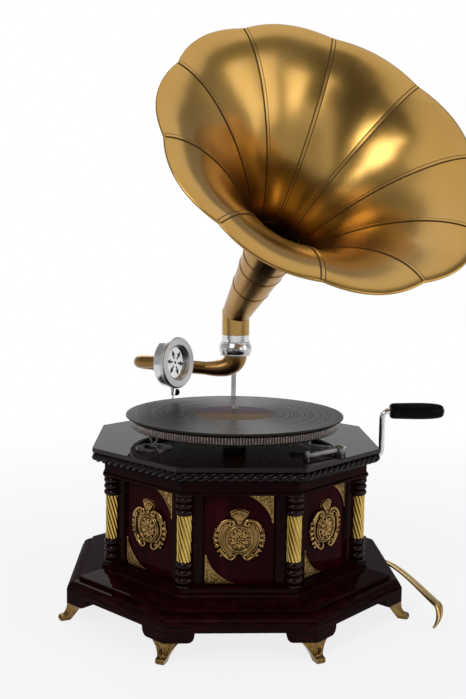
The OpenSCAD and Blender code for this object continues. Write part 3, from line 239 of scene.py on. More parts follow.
# woods: dark, middle and light tone of the grain, its stretch, and the polish over it
woods = {
    "mahogany": {
        "colours": ((0.0052, 0.0009, 0.0012), (0.0125, 0.0016, 0.0023), (0.028, 0.0038, 0.0052)),
        "grain": (1, 1, 7), "rough": (0.24, 0.36), "coat": 0.08, "coatRough": 0.04, "soften": 0.0012},
    "deckPolish": {
        "colours": ((0.004, 0.0012, 0.0014), (0.009, 0.0022, 0.0026), (0.018, 0.0045, 0.005)),
        "grain": (1, 7, 1), "rough": (0.32, 0.44), "coat": 0.50, "coatRough": 0.03, "soften": 0.0012},
    "redPanel": {
        "colours": ((0.0095, 0.0006, 0.0014), (0.022, 0.0010, 0.0027), (0.042, 0.0022, 0.0058)),
        "grain": (1.2, 1.2, 0.16), "rough": (0.22, 0.32), "coat": 0.06, "coatRough": 0.04, "soften": 0.0008},
    "ropeBlack": {
        "colours": ((0.003, 0.0012, 0.0012), (0.006, 0.002, 0.002), (0.010, 0.003, 0.003)),
        "grain": (1, 1, 1), "rough": (0.20, 0.30), "coat": 0.32},
    "turnedPolish": {
        "colours": ((0.0050, 0.0009, 0.0012), (0.0115, 0.0016, 0.0022), (0.022, 0.0034, 0.0046)),
        "grain": (1, 1, 7), "rough": (0.20, 0.30), "coat": 0.30},
}
woodLook = {"gloss": 0.0, "fibre": (55, 6), "bend": 0.6, "cloud": (9, 2),  # scale and detail of each noise
            "tones": (0.30, 0.52, 0.78), "darken": 0.5, "bump": (0.06, 0.0006)}


def woodFinish(name, spec):
    look = {**woodLook, **spec}
    mat, tree, shade, place = startFinish(name, look)
    grain = addNoise(tree, place, *look["fibre"], look["grain"], look["bend"])
    cloud = addNoise(tree, place, *look["cloud"])
    tone = addRamp(tree, grain, look["tones"], look["colours"])
    stained = addMix(tree, addRange(tree, cloud, 0.0, look["darken"]), tone, look["colours"][0])
    setInputs(tree, shade, {"Base Color": stained, "Roughness": addRange(tree, cloud, *look["rough"])})
    addBump(tree, shade, grain, *look["bump"], look.get("soften"))
    return mat


# metals: two tones in clouds and a fine texture; some with painted shade (partly patina) darkening their
# hollows, some with shallow dents
metals = {
    "hornBrass": {
        "colours": ((0.38, 0.215, 0.052), (0.47, 0.282, 0.078)), "rough": (0.19, 0.29),
        "cloud": 6, "bump": 0.02, "dent": (13, 300), "coat": 0.12, "coatRough": 0.06},
    "neckBrass": {
        "colours": ((0.30, 0.165, 0.055), (0.46, 0.27, 0.095)), "rough": (0.20, 0.32),
        "cloud": 16, "bump": 0.03},
    "tubeBrass": {
        "colours": ((0.32, 0.185, 0.055), (0.46, 0.285, 0.095)), "rough": (0.10, 0.18),
        "cloud": 20, "bump": 0.02},
    "seamShade": {
        "colours": ((0.055, 0.027, 0.008), (0.12, 0.062, 0.018)), "rough": (0.40, 0.55), "metal": 0.7},
    "armBrass": {
        "colours": ((0.19, 0.100, 0.034), (0.28, 0.160, 0.056)), "rough": (0.26, 0.38),
        "cloud": 20, "soften": 0.0006},
    "stayBrass": {
        "colours": ((0.30, 0.20, 0.075), (0.46, 0.33, 0.14)), "rough": (0.28, 0.40),
        "cloud": 30, "bump": 0.06},
    "stayShade": {
        "colours": ((0.10, 0.06, 0.025), (0.20, 0.13, 0.05)), "rough": (0.40, 0.55),
        "cloud": 30, "bump": 0.06},
    # castBrass, footBrass and spiralBrass get painted shade in their hollows (partly patina)
    "castBrass": {
        "colours": ((0.22, 0.125, 0.040), (0.40, 0.250, 0.090)), "rough": (0.14, 0.26), "cloud": 60,
        "bump": 0.25, "hollow": 0.004, "patinaAndShade": (0.030, 0.014, 0.005), "soften": 0.0004},
    "footBrass": {
        "colours": ((0.13, 0.070, 0.020), (0.30, 0.185, 0.060)), "rough": (0.18, 0.30), "cloud": 90,
        "bump": 0.2, "hollow": 0.005, "patinaAndShade": (0.035, 0.016, 0.006)},
    "spiralBrass": {
        "colours": ((0.42, 0.285, 0.060), (0.66, 0.47, 0.130)), "rough": (0.06, 0.11),
        "cloud": 40, "hollow": 0.0035, "patinaAndShade": (0.035, 0.016, 0.004)},
    "nickel": {
        "colours": ((0.58,) * 3, (0.74,) * 3), "rough": (0.08, 0.16),
        "cloud": 30, "soften": 0.0006},
    "satinNickel": {
        "colours": ((0.52,) * 3, (0.66,) * 3), "rough": (0.30, 0.42),
        "cloud": 60, "soften": 0.0006},
    "hammeredNickel": {
        "colours": ((0.42,) * 3, (0.72,) * 3), "rough": (0.16, 0.28),
        "cloud": 120, "fine": 260, "bump": 0.9, "soften": 0.0012},
    "darkSteel": {
        "colours": ((0.16, 0.155, 0.15), (0.34, 0.33, 0.32)), "rough": (0.16, 0.28),
        "cloud": 50, "soften": 0.0005},
    "frostedNickel": {
        "colours": ((0.84,) * 3, (0.92,) * 3), "rough": (0.55, 0.65),
        "cloud": 50, "soften": 0.0008, "metal": 0.25},
    "steel": {
        "colours": ((0.36, 0.36, 0.37), (0.52, 0.52, 0.53)), "rough": (0.22, 0.34),
        "cloud": 50, "soften": 0.0005},
    "ebonite": {
        "colours": ((0.003,) * 3, (0.006,) * 3), "rough": (0.26, 0.38),
        "cloud": 60, "gloss": 0.01, "coat": 0.05, "metal": 0.0},
    "felt": {
        "colours": ((0.03, 0.016, 0.014), (0.06, 0.034, 0.03)), "rough": (0.85, 0.95),
        "cloud": 90, "bump": 0.5, "metal": 0.0},
    # slotBlack on the arrow faces is painted shade of the sound box's inside
    "slotBlack": {
        "colours": ((0.004,) * 3, (0.012, 0.011, 0.010)), "rough": (0.5, 0.7),
        "cloud": 80, "metal": 0.0},
}
metalLook = {"metal": 1.0, "cloud": 14, "cloudDetail": 4, "cloudBend": 0.8, "fine": 420, "fineDetail": 3,
             "tones": (0.28, 0.72), "worn": (0.35, 0.95), "dentDetail": 2, "bump": 0.04, "bumpDepth": 0.0003}


def metalFinish(name, spec):
    look = {**metalLook, **spec}
    mat, tree, shade, place = startFinish(name, look)
    cloud = addNoise(tree, place, look["cloud"], look["cloudDetail"], distort=look["cloudBend"])
    height = addNoise(tree, place, look["fine"], look["fineDetail"])
    tone = addRamp(tree, cloud, look["tones"], look["colours"])
    # painted shade, partly patina: the colour darkens where ambient occlusion finds a hollow; worn sets the
    # occlusion range
    if "hollow" in look:
        clear = addNode(tree, "AmbientOcclusion", {"Distance": look["hollow"]}, samples=8)["AO"]
        worn = addRange(tree, clear, 0.0, 1.0, *look["worn"])
        tone = addMix(tree, worn, look["patinaAndShade"], tone)
    setInputs(tree, shade, {"Base Color": tone, "Roughness": addRange(tree, cloud, *look["rough"])})
    if "dent" in look:  # shallow waves left by hand work on sheet metal
        scale, depth = look["dent"]
        wave = addNoise(tree, place, scale, look["dentDetail"])
        height = addMath(tree, "MULTIPLY_ADD", wave, depth, height)
    addBump(tree, shade, height, look["bump"], look["bumpDepth"], look.get("soften"))
    return mat


# record: fine grooves in bands of two tones
disc = {"gloss": 0.07, "coat": 0.03, "coatRough": 0.10, "pitch": 0.0011, "bandScale": 420,
        "bands": (0.35, 0.65), "colours": ((0.010, 0.010, 0.0105), (0.022, 0.021, 0.0215)),
        "rough": (0.24, 0.36), "streak": 0.85, "bump": (0.10, 0.0002)}


def shellacFinish():
    mat, tree, shade, place = startFinish("shellac", disc)
    reach = addSpindleReach(tree, addSplit(tree, place))
    groove = addMath(tree, "SINE", addMath(tree, "MULTIPLY", reach, 2 * math.pi / disc["pitch"]))
    across = addMath(tree, "MULTIPLY", reach, disc["bandScale"])
    band = addNode(tree, "TexNoise", {"W": across, "Scale": 1.0}, noise_dimensions="1D")["Fac"]
    setInputs(tree, shade, {
        "Base Color": addRamp(tree, band, disc["bands"], disc["colours"]),
        "Roughness": addRange(tree, band, *disc["rough"]), "Anisotropic": disc["streak"],
        "Tangent": addNode(tree, "Tangent", {}, direction_type="RADIAL", axis="Z")[0]})
    addBump(tree, shade, groove, *disc["bump"])
    return mat


# label: plain paper in two tones, with worn patches
label = {"gloss": 0.1, "halfWidth": 0.05, "fibre": (700, 4), "patches": (60, 3), "wornShare": 0.45,
         "worn": (0.07, 0.045, 0.04), "rough": 0.62, "bump": (0.15, 0.0002),
         "bands": [(0.00, (0.150, 0.095, 0.048)), (0.40, (0.170, 0.110, 0.054)), (0.50, (0.08, 0.055, 0.048)),
                   (0.58, (0.090, 0.068, 0.090)), (1.00, (0.120, 0.092, 0.125))]}


def labelFinish():
    mat, tree, shade, place = startFinish("labelPaper", label)
    side = addRange(tree, addSplit(tree, place)["Y"], 0.0, 1.0, -label["halfWidth"], label["halfWidth"])
    bands = addRamp(tree, side, *zip(*label["bands"]))
    fibre = addNoise(tree, place, *label["fibre"])
    cloud = addNoise(tree, place, *label["patches"])
    worn = addMix(tree, addRange(tree, cloud, 0.0, label["wornShare"]), bands, label["worn"])
    setInputs(tree, shade, {"Base Color": worn, "Roughness": label["rough"]})
    addBump(tree, shade, fibre, *label["bump"])
    return mat


# platter: knurled at its rim only, with painted highlights on the knurl crests and painted shade between them
platter = {"metal": 1.0, "knurls": 240, "rim": (0.114, 0.117), "bands": (0.25, 0.85),
           "colours": ((0.030, 0.022, 0.020), (0.26, 0.22, 0.20)), "worn": (0.06, 0.045, 0.042),
           "wornShare": 0.7, "patches": (300, 2), "rough": (0.18, 0.36), "bump": (0.5, 0.0004, 0.0006)}


def platterFinish():
    mat, tree, shade, place = startFinish("platterSteel", platter)
    split = addSplit(tree, place)
    around = addMath(tree, "ARCTAN2", split["Y"], split["X"])
    wave = addMath(tree, "SINE", addMath(tree, "MULTIPLY", around, platter["knurls"]))
    rim = addRange(tree, addSpindleReach(tree, split), 0.0, 1.0, *platter["rim"])
    knurl = addMath(tree, "MULTIPLY", wave, rim)
    spread = addNoise(tree, place, *platter["patches"])
    # painted highlight and shade: the colour follows the knurl, light on its crests and dark between them
    ridge = addRange(tree, knurl, 0.0, 1.0, -1.0, 1.0)
    tone = addRamp(tree, ridge, platter["bands"], platter["colours"])
    worn = addMix(tree, addRange(tree, spread, 0.0, platter["wornShare"]), tone, platter["worn"])
    setInputs(tree, shade, {"Base Color": worn, "Roughness": addRange(tree, spread, *platter["rough"])})
    addBump(tree, shade, knurl, *platter["bump"])
    return mat


# punched field of the spandrels, with darker scratches
stipple = {"metal": 1.0, "cells": 420, "bands": (0.15, 0.62),
           "colours": ((0.52, 0.36, 0.13), (0.16, 0.092, 0.03)),
           "lines": (260, 3, (1, 1, 0.25), 1.2), "lineShare": (0.0, 0.6, 0.45, 0.62),
           "lineTone": (0.11, 0.06, 0.02), "rough": 0.42, "bump": (0.5, 0.0006)}


def stippledFinish():
    mat, tree, shade, place = startFinish("stippledBrass", stipple)
    dots = addNode(tree, "TexVoronoi", {"Vector": place, "Scale": stipple["cells"]})["Distance"]
    lines = addNoise(tree, place, *stipple["lines"])
    tone = addRamp(tree, dots, stipple["bands"], stipple["colours"])
    lined = addMix(tree, addRange(tree, lines, *stipple["lineShare"]), tone, stipple["lineTone"])
    setInputs(tree, shade, {"Base Color": lined, "Roughness": stipple["rough"]})
    addBump(tree, shade, dots, *stipple["bump"])
    return mat


finishes = {name: woodFinish(name, spec) for name, spec in woods.items()}
finishes.update({name: metalFinish(name, spec) for name, spec in metals.items()})
finishes.update(shellac=shellacFinish(), labelPaper=labelFinish(), platterSteel=platterFinish(),
                stippledBrass=stippledFinish())
print("stage: finishes mixed,", len(finishes))

# finish of every CAD node, replaced ones too
dressing = {
    "mahogany": "plinth corner_blocks bottom_board corner_posts column_turnings frieze",
    "deckPolish": "top_board",
    "ropeBlack": "rope_moulding",
    "redPanel": "side_panels",
    "castBrass": "spandrels cartouches bracket_screws crank_bush",
    "footBrass": "feet",
    "spiralBrass": "column_spirals",
    "stayBrass": "side_stay",
    "armBrass": "arm_elbow arm_tube gooseneck_tube",
    "hornBrass": "horn_bell",
    "tubeBrass": "horn_elbow",
    "neckBrass": "horn_neck",
    "frostedNickel": "rear_bracket",
    "nickel": "arm_stem horn_ferrule sound_box_case sound_box_grille stylus_bar crank_rod",
    "satinNickel": "sound_box_ring",
    "hammeredNickel": "collar",
    "darkSteel": "speed_dial speed_lever brake_post brake_lever",
    "steel": "motor_plate lower_plate motor_pillars shaft_bearing spindle winding_shaft barrel_arbor "
             "mainspring governor_spindle needle crown_wheel spring_barrel barrel_cap intermediate_wheel "
             "governor_weights spindle_gears",
    "platterSteel": "platter",
    "felt": "felt_mat",
    "shellac": "record",
    "labelPaper": "record_label",
    "slotBlack": "diaphragm gaskets",
    "ebonite": "crank_grip needle_screw",
}
for finish, names in dressing.items():
    for name in names.split():
        mesh = nodes[name].data
        mesh.materials.clear()
        mesh.materials.append(finishes[finish])
print("stage: CAD nodes dressed")


# modelling helpers: lines, paths and sizes come in millimetres, turns in degrees
def turned(degrees, axis="Z"):
    return Matrix.Rotation(math.radians(degrees), 4, axis)


def vertsOf(geom):
    return [g for g in geom if isinstance(g, bmesh.types.BMVert)]


def bezier(points, steps):
    line = []
    for i in range(steps + 1):
        level = [Vector(p) for p in points]
        while len(level) > 1:
            level = [a.lerp(b, i / steps) for a, b in zip(level, level[1:])]
        line.append(level[0])
    return line


def drawLine(bm, points, closed=False):
    verts = [bm.verts.new(p) for p in points]
    edges = [bm.edges.new(pair) for pair in zip(verts, verts[1:])]
    if closed:
        edges.append(bm.edges.new((verts[-1], verts[0])))
    return verts, edges


def spinLine(bm, line, steps, closed=False):
    verts, edges = drawLine(bm, [(p[0] * mm, 0, p[1] * mm) for p in line], closed)
    bmesh.ops.spin(bm, geom=verts + edges, cent=(0, 0, 0), axis=(0, 0, 1), angle=2 * math.pi, steps=steps,
                   use_merge=True, use_duplicate=False)


def growRing(bm, edges):
    grown = bmesh.ops.extrude_edge_only(bm, edges=edges)["geom"]
    return vertsOf(grown), [g for g in grown if isinstance(g, bmesh.types.BMEdge) and g.is_boundary]


def growColumn(bm, start, steps, rise, twist=0.0):
    edges = list({e for v in start for e in v.link_edges})
    step = turned(twist) @ Matrix.Translation((0, 0, rise))
    for i in range(steps):
        ring, edges = growRing(bm, edges)
        bmesh.ops.transform(bm, matrix=step, verts=ring)
    bmesh.ops.holes_fill(bm, edges=edges, sides=0)


def raiseFace(bm, face, keepBelow):
    grown = bmesh.ops.extrude_face_region(bm, geom=[face])["geom"]
    if not keepBelow and face.is_valid:
        bmesh.ops.delete(bm, geom=[face], context="FACES_ONLY")
    return next(g for g in grown if isinstance(g, bmesh.types.BMFace)), vertsOf(grown)


def ringFrame(point, along, keep):
    side = Vector(keep).cross(along).normalized()
    up = Vector(along).cross(side).normalized()
    place = Matrix((side, up, along)).transposed().to_4x4()
    place.translation = point
    return place


def sweepTube(bm, line, sizes, sides, keep=(0, 0, 1), first=None, last=None):
    path = [p * mm for p in line]
    end = len(path) - 1
    ways = [(path[min(i + 1, end)] - path[max(i - 1, 0)]).normalized() for i in range(end + 1)]
    ways[0] = Vector(first) if first else ways[0]
    ways[end] = Vector(last) if last else ways[end]
    places = []
    for point, along, size in zip(path, ways, sizes):
        wide, tall = size if isinstance(size, tuple) else (size, size)
        places.append(ringFrame(point, along, keep) @ Matrix.Diagonal((wide * mm, tall * mm, 1, 1)))
    made = bmesh.ops.create_circle(bm, cap_ends=False, segments=sides, radius=1, matrix=places[0])["verts"]
    edges = startEdges = list({e for v in made for e in v.link_edges})
    for before, place in zip(places, places[1:]):
        ring, edges = growRing(bm, edges)
        bmesh.ops.transform(bm, matrix=place @ before.inverted(), verts=ring)
    bmesh.ops.holes_fill(bm, edges=[e for e in set(startEdges) | set(edges) if e.is_boundary], sides=0)


def shift(bm, way, verts=None):
    bmesh.ops.translate(bm, vec=Vector(way) * mm, verts=verts or bm.verts)


def moveAll(bm, matrix):
    bmesh.ops.transform(bm, matrix=matrix, verts=bm.verts)


def copyTo(bm, places):
    start = bm.verts[:] + bm.edges[:] + bm.faces[:]
    for place in places[1:]:
        more = vertsOf(bmesh.ops.duplicate(bm, geom=start)["geom"])
        bmesh.ops.transform(bm, matrix=place, verts=more)
    bmesh.ops.transform(bm, matrix=places[0], verts=vertsOf(start))


def copyRound(bm, count):
    copyTo(bm, [turned(360 / count * k) for k in range(count)])


def joinInto(bm, part):
    held = bpy.data.meshes.new("part")
    part.to_mesh(held)
    part.free()
    bm.from_mesh(held)
    bpy.data.meshes.remove(held)


def finishPiece(name, bm, mats, body, stands=(), sharp=0.6):
    bmesh.ops.remove_doubles(bm, verts=bm.verts, dist=1e-7)
    bmesh.ops.recalc_face_normals(bm, faces=bm.faces)
    for face in bm.faces:
        face.smooth = True
    for edge in bm.edges:
        if len(edge.link_faces) == 2 and edge.calc_face_angle(0) > sharp:
            edge.smooth = False
    mesh = bpy.data.meshes.new(name)
    bm.to_mesh(mesh)
    bm.free()
    for mat in mats:
        mesh.materials.append(finishes[mat])
    piece = bpy.data.objects.new(name, mesh)
    scene.collection.objects.link(piece)
    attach(piece, body)
    if stands:
        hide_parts(*stands)
    print("stage:", name, len(mesh.polygons), "faces")


# horn bell: ten petals turned about its own axis, then leant into place; flare is (height, radius)
horn = {
    "elbow": (0.007, 0.150, 0.3255), "lean": 52.5, "heading": -70.4, "petals": 10, "turn": 17.3,
    "flare": [(150.0, 33.0), (175.0, 36.5), (250.8, 67.1), (319.0, 135.2), (317.0, 180.7)],
    "flareSteps": 40, "segments": 240, "scallop": 5.7, "scallopPower": 1.2, "sheet": 0.8,
    "roll": 1.6, "rollAngles": range(24, 280, 32),
}
hornPlace = Matrix.Translation(horn["elbow"]) @ turned(horn["heading"]) @ turned(horn["lean"], "Y")
throatHeight, throatRadius = horn["flare"][0]


def bellLine():
    return [Vector((p.y, p.x)) for p in bezier([(*p, 0) for p in horn["flare"]], horn["flareSteps"])]


def bulgeAt(radius, angle):
    rise = max(0.0, (radius - throatRadius) / (horn["flare"][-1][1] - throatRadius)) ** horn["scallopPower"]
    return horn["scallop"] * rise * abs(math.sin(angle * horn["petals"] / 2))


def normalAt(line, i):
    along = (line[min(i + 1, len(line) - 1)] - line[max(i - 1, 0)]).normalized()
    return Vector((along.y, -along.x))


def makeBell():
    inner = bellLine()
    rim = inner[-1]
    curl = [rim + Vector((horn["roll"] * math.sin(a), horn["roll"] * (math.cos(a) - 1)))
            for a in (math.radians(d) for d in horn["rollAngles"])]
    outer = [inner[i] + normalAt(inner, i) * horn["sheet"] for i in range(len(inner) - 2, -1, -1)]
    bm = bmesh.new()
    spinLine(bm, inner + curl + outer, horn["segments"], closed=True)
    for v in bm.verts:
        radius = math.hypot(v.co.x, v.co.y)
        angle = math.atan2(v.co.y, v.co.x)
        grown = radius + bulgeAt(radius / mm, angle) * mm
        v.co.x, v.co.y = grown * math.cos(angle), grown * math.sin(angle)
    moveAll(bm, hornPlace @ turned(horn["turn"]))
    finishPiece("hornBell", bm, ["hornBrass"], "horn", ["horn_bell"], 1.2)


# seams between the petals: a folded rib on a wider dark joint, inside and outside; width, lift, finish
seams = {
    "pieces": {"seamRibs": (3.1, 0.75, "hornBrass"), "seamShades": (5.7, 0.28, "seamShade")},
    "slim": 0.7, "fullAt": 120, "sink": 0.2,
}


def makeSeam(side, width, lift):
    line = bellLine()
    rows = []
    for i, p in enumerate(line):
        normal = normalAt(line, i)
        top = p - normal * lift if side < 0 else p + normal * (lift + horn["sheet"])
        half = 0.5 * width * (seams["slim"] + (1 - seams["slim"]) * min(1.0, p.x / seams["fullAt"]))
        rows.append((top, half, normal))
    bm = bmesh.new()
    edges = drawLine(bm, [(top.x * mm, -half * mm, top.y * mm) for top, half, normal in rows])[1]
    for v in vertsOf(bmesh.ops.extrude_edge_only(bm, edges=edges)["geom"]):
        v.co.y = -v.co.y
    border = [e for e in bm.edges if e.is_boundary]
    for v in vertsOf(bmesh.ops.extrude_edge_only(bm, edges=border)["geom"]):
        at = Vector((v.co.x, v.co.z)) / mm
        normal = min(rows, key=lambda row: (at - row[0]).length)[2]
        v.co -= Vector((normal.x, 0, normal.y)) * (lift + seams["sink"]) * mm * side
    return bm


def makeSeams():
    for name, (width, lift, mat) in seams["pieces"].items():
        bm = bmesh.new()
        for side in (-1, 1):
            joinInto(bm, makeSeam(side, width, lift))
        copyRound(bm, horn["petals"])
        moveAll(bm, hornPlace @ turned(horn["turn"]))
        finishPiece(name, bm, [mat], "horn")


# horn neck: a mitred cone with beads over its joints and a dark line on both sides of each
neck = {
    "foot": 18.2, "below": -20.0, "wall": 1.2, "lap": 0.5, "lip": 0.15, "mitre": 0.1, "segments": 96,
    "seams": (62.0, 100.0, 122.0), "bead": 0.7, "beadEdge": 0.3, "beadWidth": 2.0,
    "shadeWidth": 0.55, "shadePeak": 0.28, "shadeLift": 0.06, "shadeCrown": 0.12,
}


def neckRadius(height):
    return neck["foot"] + (throatRadius - neck["foot"]) / throatHeight * height


def makeNeck():
    low, top = neck["below"], throatHeight + neck["lap"]
    bead, edge, wide = (neck[k] for k in ("bead", "beadEdge", "beadWidth"))
    line = [(neckRadius(low), low)]
    for s in neck["seams"]:
        r = neckRadius(s)
        line += [(r, s), (r + bead, s + edge), (r + bead, s + wide - edge), (r, s + wide)]
    r = neckRadius(top)
    line += [(r, top), (r - neck["lip"], top), (neckRadius(low) - neck["wall"], low)]
    bm = bmesh.new()
    spinLine(bm, line, neck["segments"], closed=True)
    lean = math.radians(horn["lean"]) / 2
    bmesh.ops.bisect_plane(bm, geom=bm.verts[:] + bm.edges[:] + bm.faces[:], clear_inner=True,
                           plane_co=(0, 0, neck["mitre"] * mm), plane_no=(-math.sin(lean), 0, math.cos(lean)))
    moveAll(bm, hornPlace)
    finishPiece("hornNeck", bm, ["neckBrass"], "horn", ["horn_neck"])
    bm = bmesh.new()
    for s in neck["seams"]:
        for edge in (s - neck["shadeWidth"], s + wide):
            r = neckRadius(edge) + neck["shadeLift"]
            spinLine(bm, [(r, edge), (r + neck["shadeCrown"], edge + neck["shadePeak"]),
                          (r, edge + neck["shadeWidth"])], neck["segments"])
    moveAll(bm, hornPlace)
    finishPiece("neckShades", bm, ["seamShade"], "horn")


makeBell()
makeSeams()
makeNeck()

# tone arm: tapered elbow and swan neck as smooth bent tubes
arm = {
    "pivot": (7.0, 150.0), "top": 269.9, "tubeStart": (-40.0, 252.0), "rise": 4.6, "wide": 15.3, "slim": 8.7,
    "taper": 1.5, "elbowSteps": 24, "elbowSides": 40, "reach": 110.0, "tilt": 11.0, "bend": 15.0,
    "turn": 143.0, "leg": 37.5, "legGap": 1.0, "neckSteps": 28, "neckSides": 36, "neckRadius": 8.4,
    "spigot": 7.0, "spigotLength": 14.0, "gap": 0.3,
}


def makeElbow():
    rise = math.radians(arm["rise"])
    x, y = arm["pivot"]
    back, height = arm["tubeStart"]
    steps = arm["elbowSteps"]
    path = bezier([(x, y, arm["top"]), (x, y, height + back * math.tan(rise)), (x + back, y, height)], steps)
    wide, slim = arm["wide"], arm["slim"]
    sizes = [wide + (slim - wide) * (i / steps) ** arm["taper"] for i in range(steps + 1)]
    bm = bmesh.new()
    sweepTube(bm, path, sizes, arm["elbowSides"], (0, 1, 0), (0, 0, -1), (-math.cos(rise), 0, math.sin(rise)))
    finishPiece("armElbow", bm, ["armBrass"], "tone_arm", ["arm_elbow"])


def swanPlace():
    rise = math.radians(arm["rise"])
    back, height = arm["tubeStart"]
    length = (arm["reach"] + back) / math.cos(rise)
    start = Vector((arm["pivot"][0] + back, arm["pivot"][1], height))
    joint = start + Vector((-math.cos(rise), 0, math.sin(rise))) * length
    return Matrix.Translation(joint * mm) @ turned(arm["rise"], "Y") @ turned(180) @ turned(arm["tilt"], "X")


def swanBend(angle):
    return Vector((arm["bend"] * math.sin(angle), arm["bend"] * (1 - math.cos(angle)), 0))


def makeSwanNeck():
    turn = math.radians(arm["turn"])
    start = Vector((arm["gap"], 0, 0))
    path = [start + swanBend(turn * i / arm["neckSteps"]) for i in range(arm["neckSteps"] + 1)]
    path.append(path[-1] + Vector((math.cos(turn), math.sin(turn), 0)) * (arm["leg"] - arm["legGap"]))
    bm = bmesh.new()
    sweepTube(bm, path, [arm["neckRadius"]] * len(path), arm["neckSides"], first=(1, 0, 0))
    sweepTube(bm, [Vector((-arm["spigotLength"], 0, 0)), start], [arm["spigot"]] * 2, arm["neckSides"])
    moveAll(bm, swanPlace())
    finishPiece("swanNeck", bm, ["armBrass"], "gooseneck", ["gooseneck_tube"])


# sound box front: black arrow faces over the grille's slots, painted shade of the dark inside seen through
# them, and a black hub, laid on the plate behind the ring
slots = {"count": 6, "first": 30.0, "out": 10.0, "face": 2.02, "stem": (5.2, 1.2), "head": (9.6, 17.6, 3.5),
         "barb": 1.0, "hub": 1.9, "hubSides": 24}


def makeSlots():
    turn = math.radians(arm["turn"])
    middle = swanBend(turn) + Vector((math.cos(turn), math.sin(turn), 0)) * (arm["leg"] + slots["out"])
    near, half = slots["stem"]
    low, high, wing = slots["head"]
    barb = low + slots["barb"]
    arrow = [(near, -half), (barb, -half), (low, -wing), (high, 0), (low, wing), (barb, half), (near, half)]
    bm = bmesh.new()
    bm.faces.new([bm.verts.new((x * mm, y * mm, 0)) for x, y in arrow])
    copyRound(bm, slots["count"])
    moveAll(bm, turned(slots["first"]))
    bmesh.ops.create_circle(bm, cap_ends=True, segments=slots["hubSides"], radius=slots["hub"] * mm)
    shift(bm, (0, 0, slots["face"]))
    moveAll(bm, swanPlace() @ Matrix.Translation(middle * mm) @ turned(arm["turn"]) @ turned(90, "Y"))
    finishPiece("arrowSlots", bm, ["slotBlack"], "gooseneck")


makeElbow()
makeSwanNeck()
makeSlots()

# the case has eight sides, with its corners half a side's angle from the x axis
sides = 8
cornerTurn = 180 / sides

# rope moulding: three strands laid round each other, one mitred length to a side
rope = {"flat": 154.6, "height": 180.3, "radius": 5.6, "bulges": 13, "strands": 3, "strand": 2.9, "gap": 0.15,
        "length": 130.0, "stepsEach": 6, "strandSides": 8}


def makeRope():
    steps = rope["bulges"] * rope["stepsEach"]
    ring = rope["radius"] - rope["strand"]
    bm = bmesh.new()
    for s in range(rope["strands"]):
        path = []
        for i in range(steps + 1):
            a = 2 * math.pi * (rope["bulges"] * i / steps + s) / rope["strands"]
            path.append(Vector((rope["flat"] + ring * math.cos(a), rope["length"] * (i / steps - 0.5),
                                rope["height"] + ring * math.sin(a))))
        sizes = [rope["strand"]] * (steps + 1)
        sweepTube(bm, path, sizes, rope["strandSides"], (1, 0, 0), (0, 1, 0), (0, 1, 0))
    for v in bm.verts:  # mitre the ends at the corners
        reach = v.co.x * math.tan(math.radians(cornerTurn)) - rope["gap"] * mm
        v.co.y *= reach / (rope["length"] / 2 * mm)
    copyRound(bm, sides)
    finishPiece("ropeMoulding", bm, ["ropeBlack"], "case", ["rope_moulding"], 2.0)


makeRope()

# corner columns: turned ends with a twisted brass sleeve between them, let into the posts at the back
column = {
    "ring": 149.0, "foot": 60.0, "lowEnd": 27.1, "sleeve": 49.1, "topEnd": 22.8, "segments": 40,
    "beads": 3, "beadSteps": 8, "beadPower": 0.7, "base": 2.4, "beadRadius": 9.9, "waist": 7.6,
    "radius": 8.1, "flutes": 12, "fluteSteps": 8, "depth": 1.1, "turn": -120.0, "turnSteps": 30,
}


def turnedLine(height):
    wide, waist, base = column["beadRadius"], column["waist"], column["base"]
    step = (height - base) / column["beads"]
    line = [(0, 0), (wide, 0), (wide, base)]
    for i in range(column["beads"] * column["beadSteps"]):
        bead, part = divmod(i, column["beadSteps"])
        share = part / column["beadSteps"]
        swell = math.sin(math.pi * share) ** column["beadPower"]
        line.append((waist + (wide - waist) * swell, base + step * (bead + share)))
    return line + [(waist, height), (0, height)]


def setColumns(bm):
    shift(bm, (column["ring"], 0, 0))
    moveAll(bm, turned(cornerTurn))
    copyRound(bm, sides)


def makeTurnings():
    low = column["foot"]
    top = low + column["lowEnd"] + column["sleeve"] + column["topEnd"]
    bm = bmesh.new()
    spinLine(bm, [(x, low + z) for x, z in turnedLine(column["lowEnd"])], column["segments"])
    spinLine(bm, [(x, top - z) for x, z in turnedLine(column["topEnd"])], column["segments"])
    setColumns(bm)
    finishPiece("turnedEnds", bm, ["turnedPolish"], "case", ["column_turnings"])


def makeSpirals():
    bm = bmesh.new()
    around = column["fluteSteps"] * column["flutes"]
    made = bmesh.ops.create_circle(bm, cap_ends=True, segments=around, radius=column["radius"] * mm)["verts"]
    for v in made:
        a = math.atan2(v.co.y, v.co.x)
        shrink = 1 - column["depth"] / column["radius"] * (1 - abs(math.cos(column["flutes"] * a / 2)))
        v.co *= shrink
    shift(bm, (0, 0, column["foot"] + column["lowEnd"]))
    steps = column["turnSteps"]
    growColumn(bm, made, steps, column["sleeve"] / steps * mm, column["turn"] / steps)
    setColumns(bm)
    finishPiece("spiralSleeves", bm, ["spiralBrass"], "case", ["column_spirals"], 1.2)


makeTurnings()
makeSpirals()

# brass mounts on the panels, drawn on a panel lying flat: x right, y up, z out
panel = {"face": 134.0, "foot": 60.0, "height": 99.0, "halfWidth": 36.56, "backFace": 2}


def panelPlace(k):
    lay = Matrix(((0, 0, 1, 0), (1, 0, 0, 0), (0, 1, 0, 0), (0, 0, 0, 1)))
    stand = Matrix.Translation(Vector((panel["face"], 0, panel["foot"])) * mm)
    return turned(360 / sides * k) @ stand @ lay


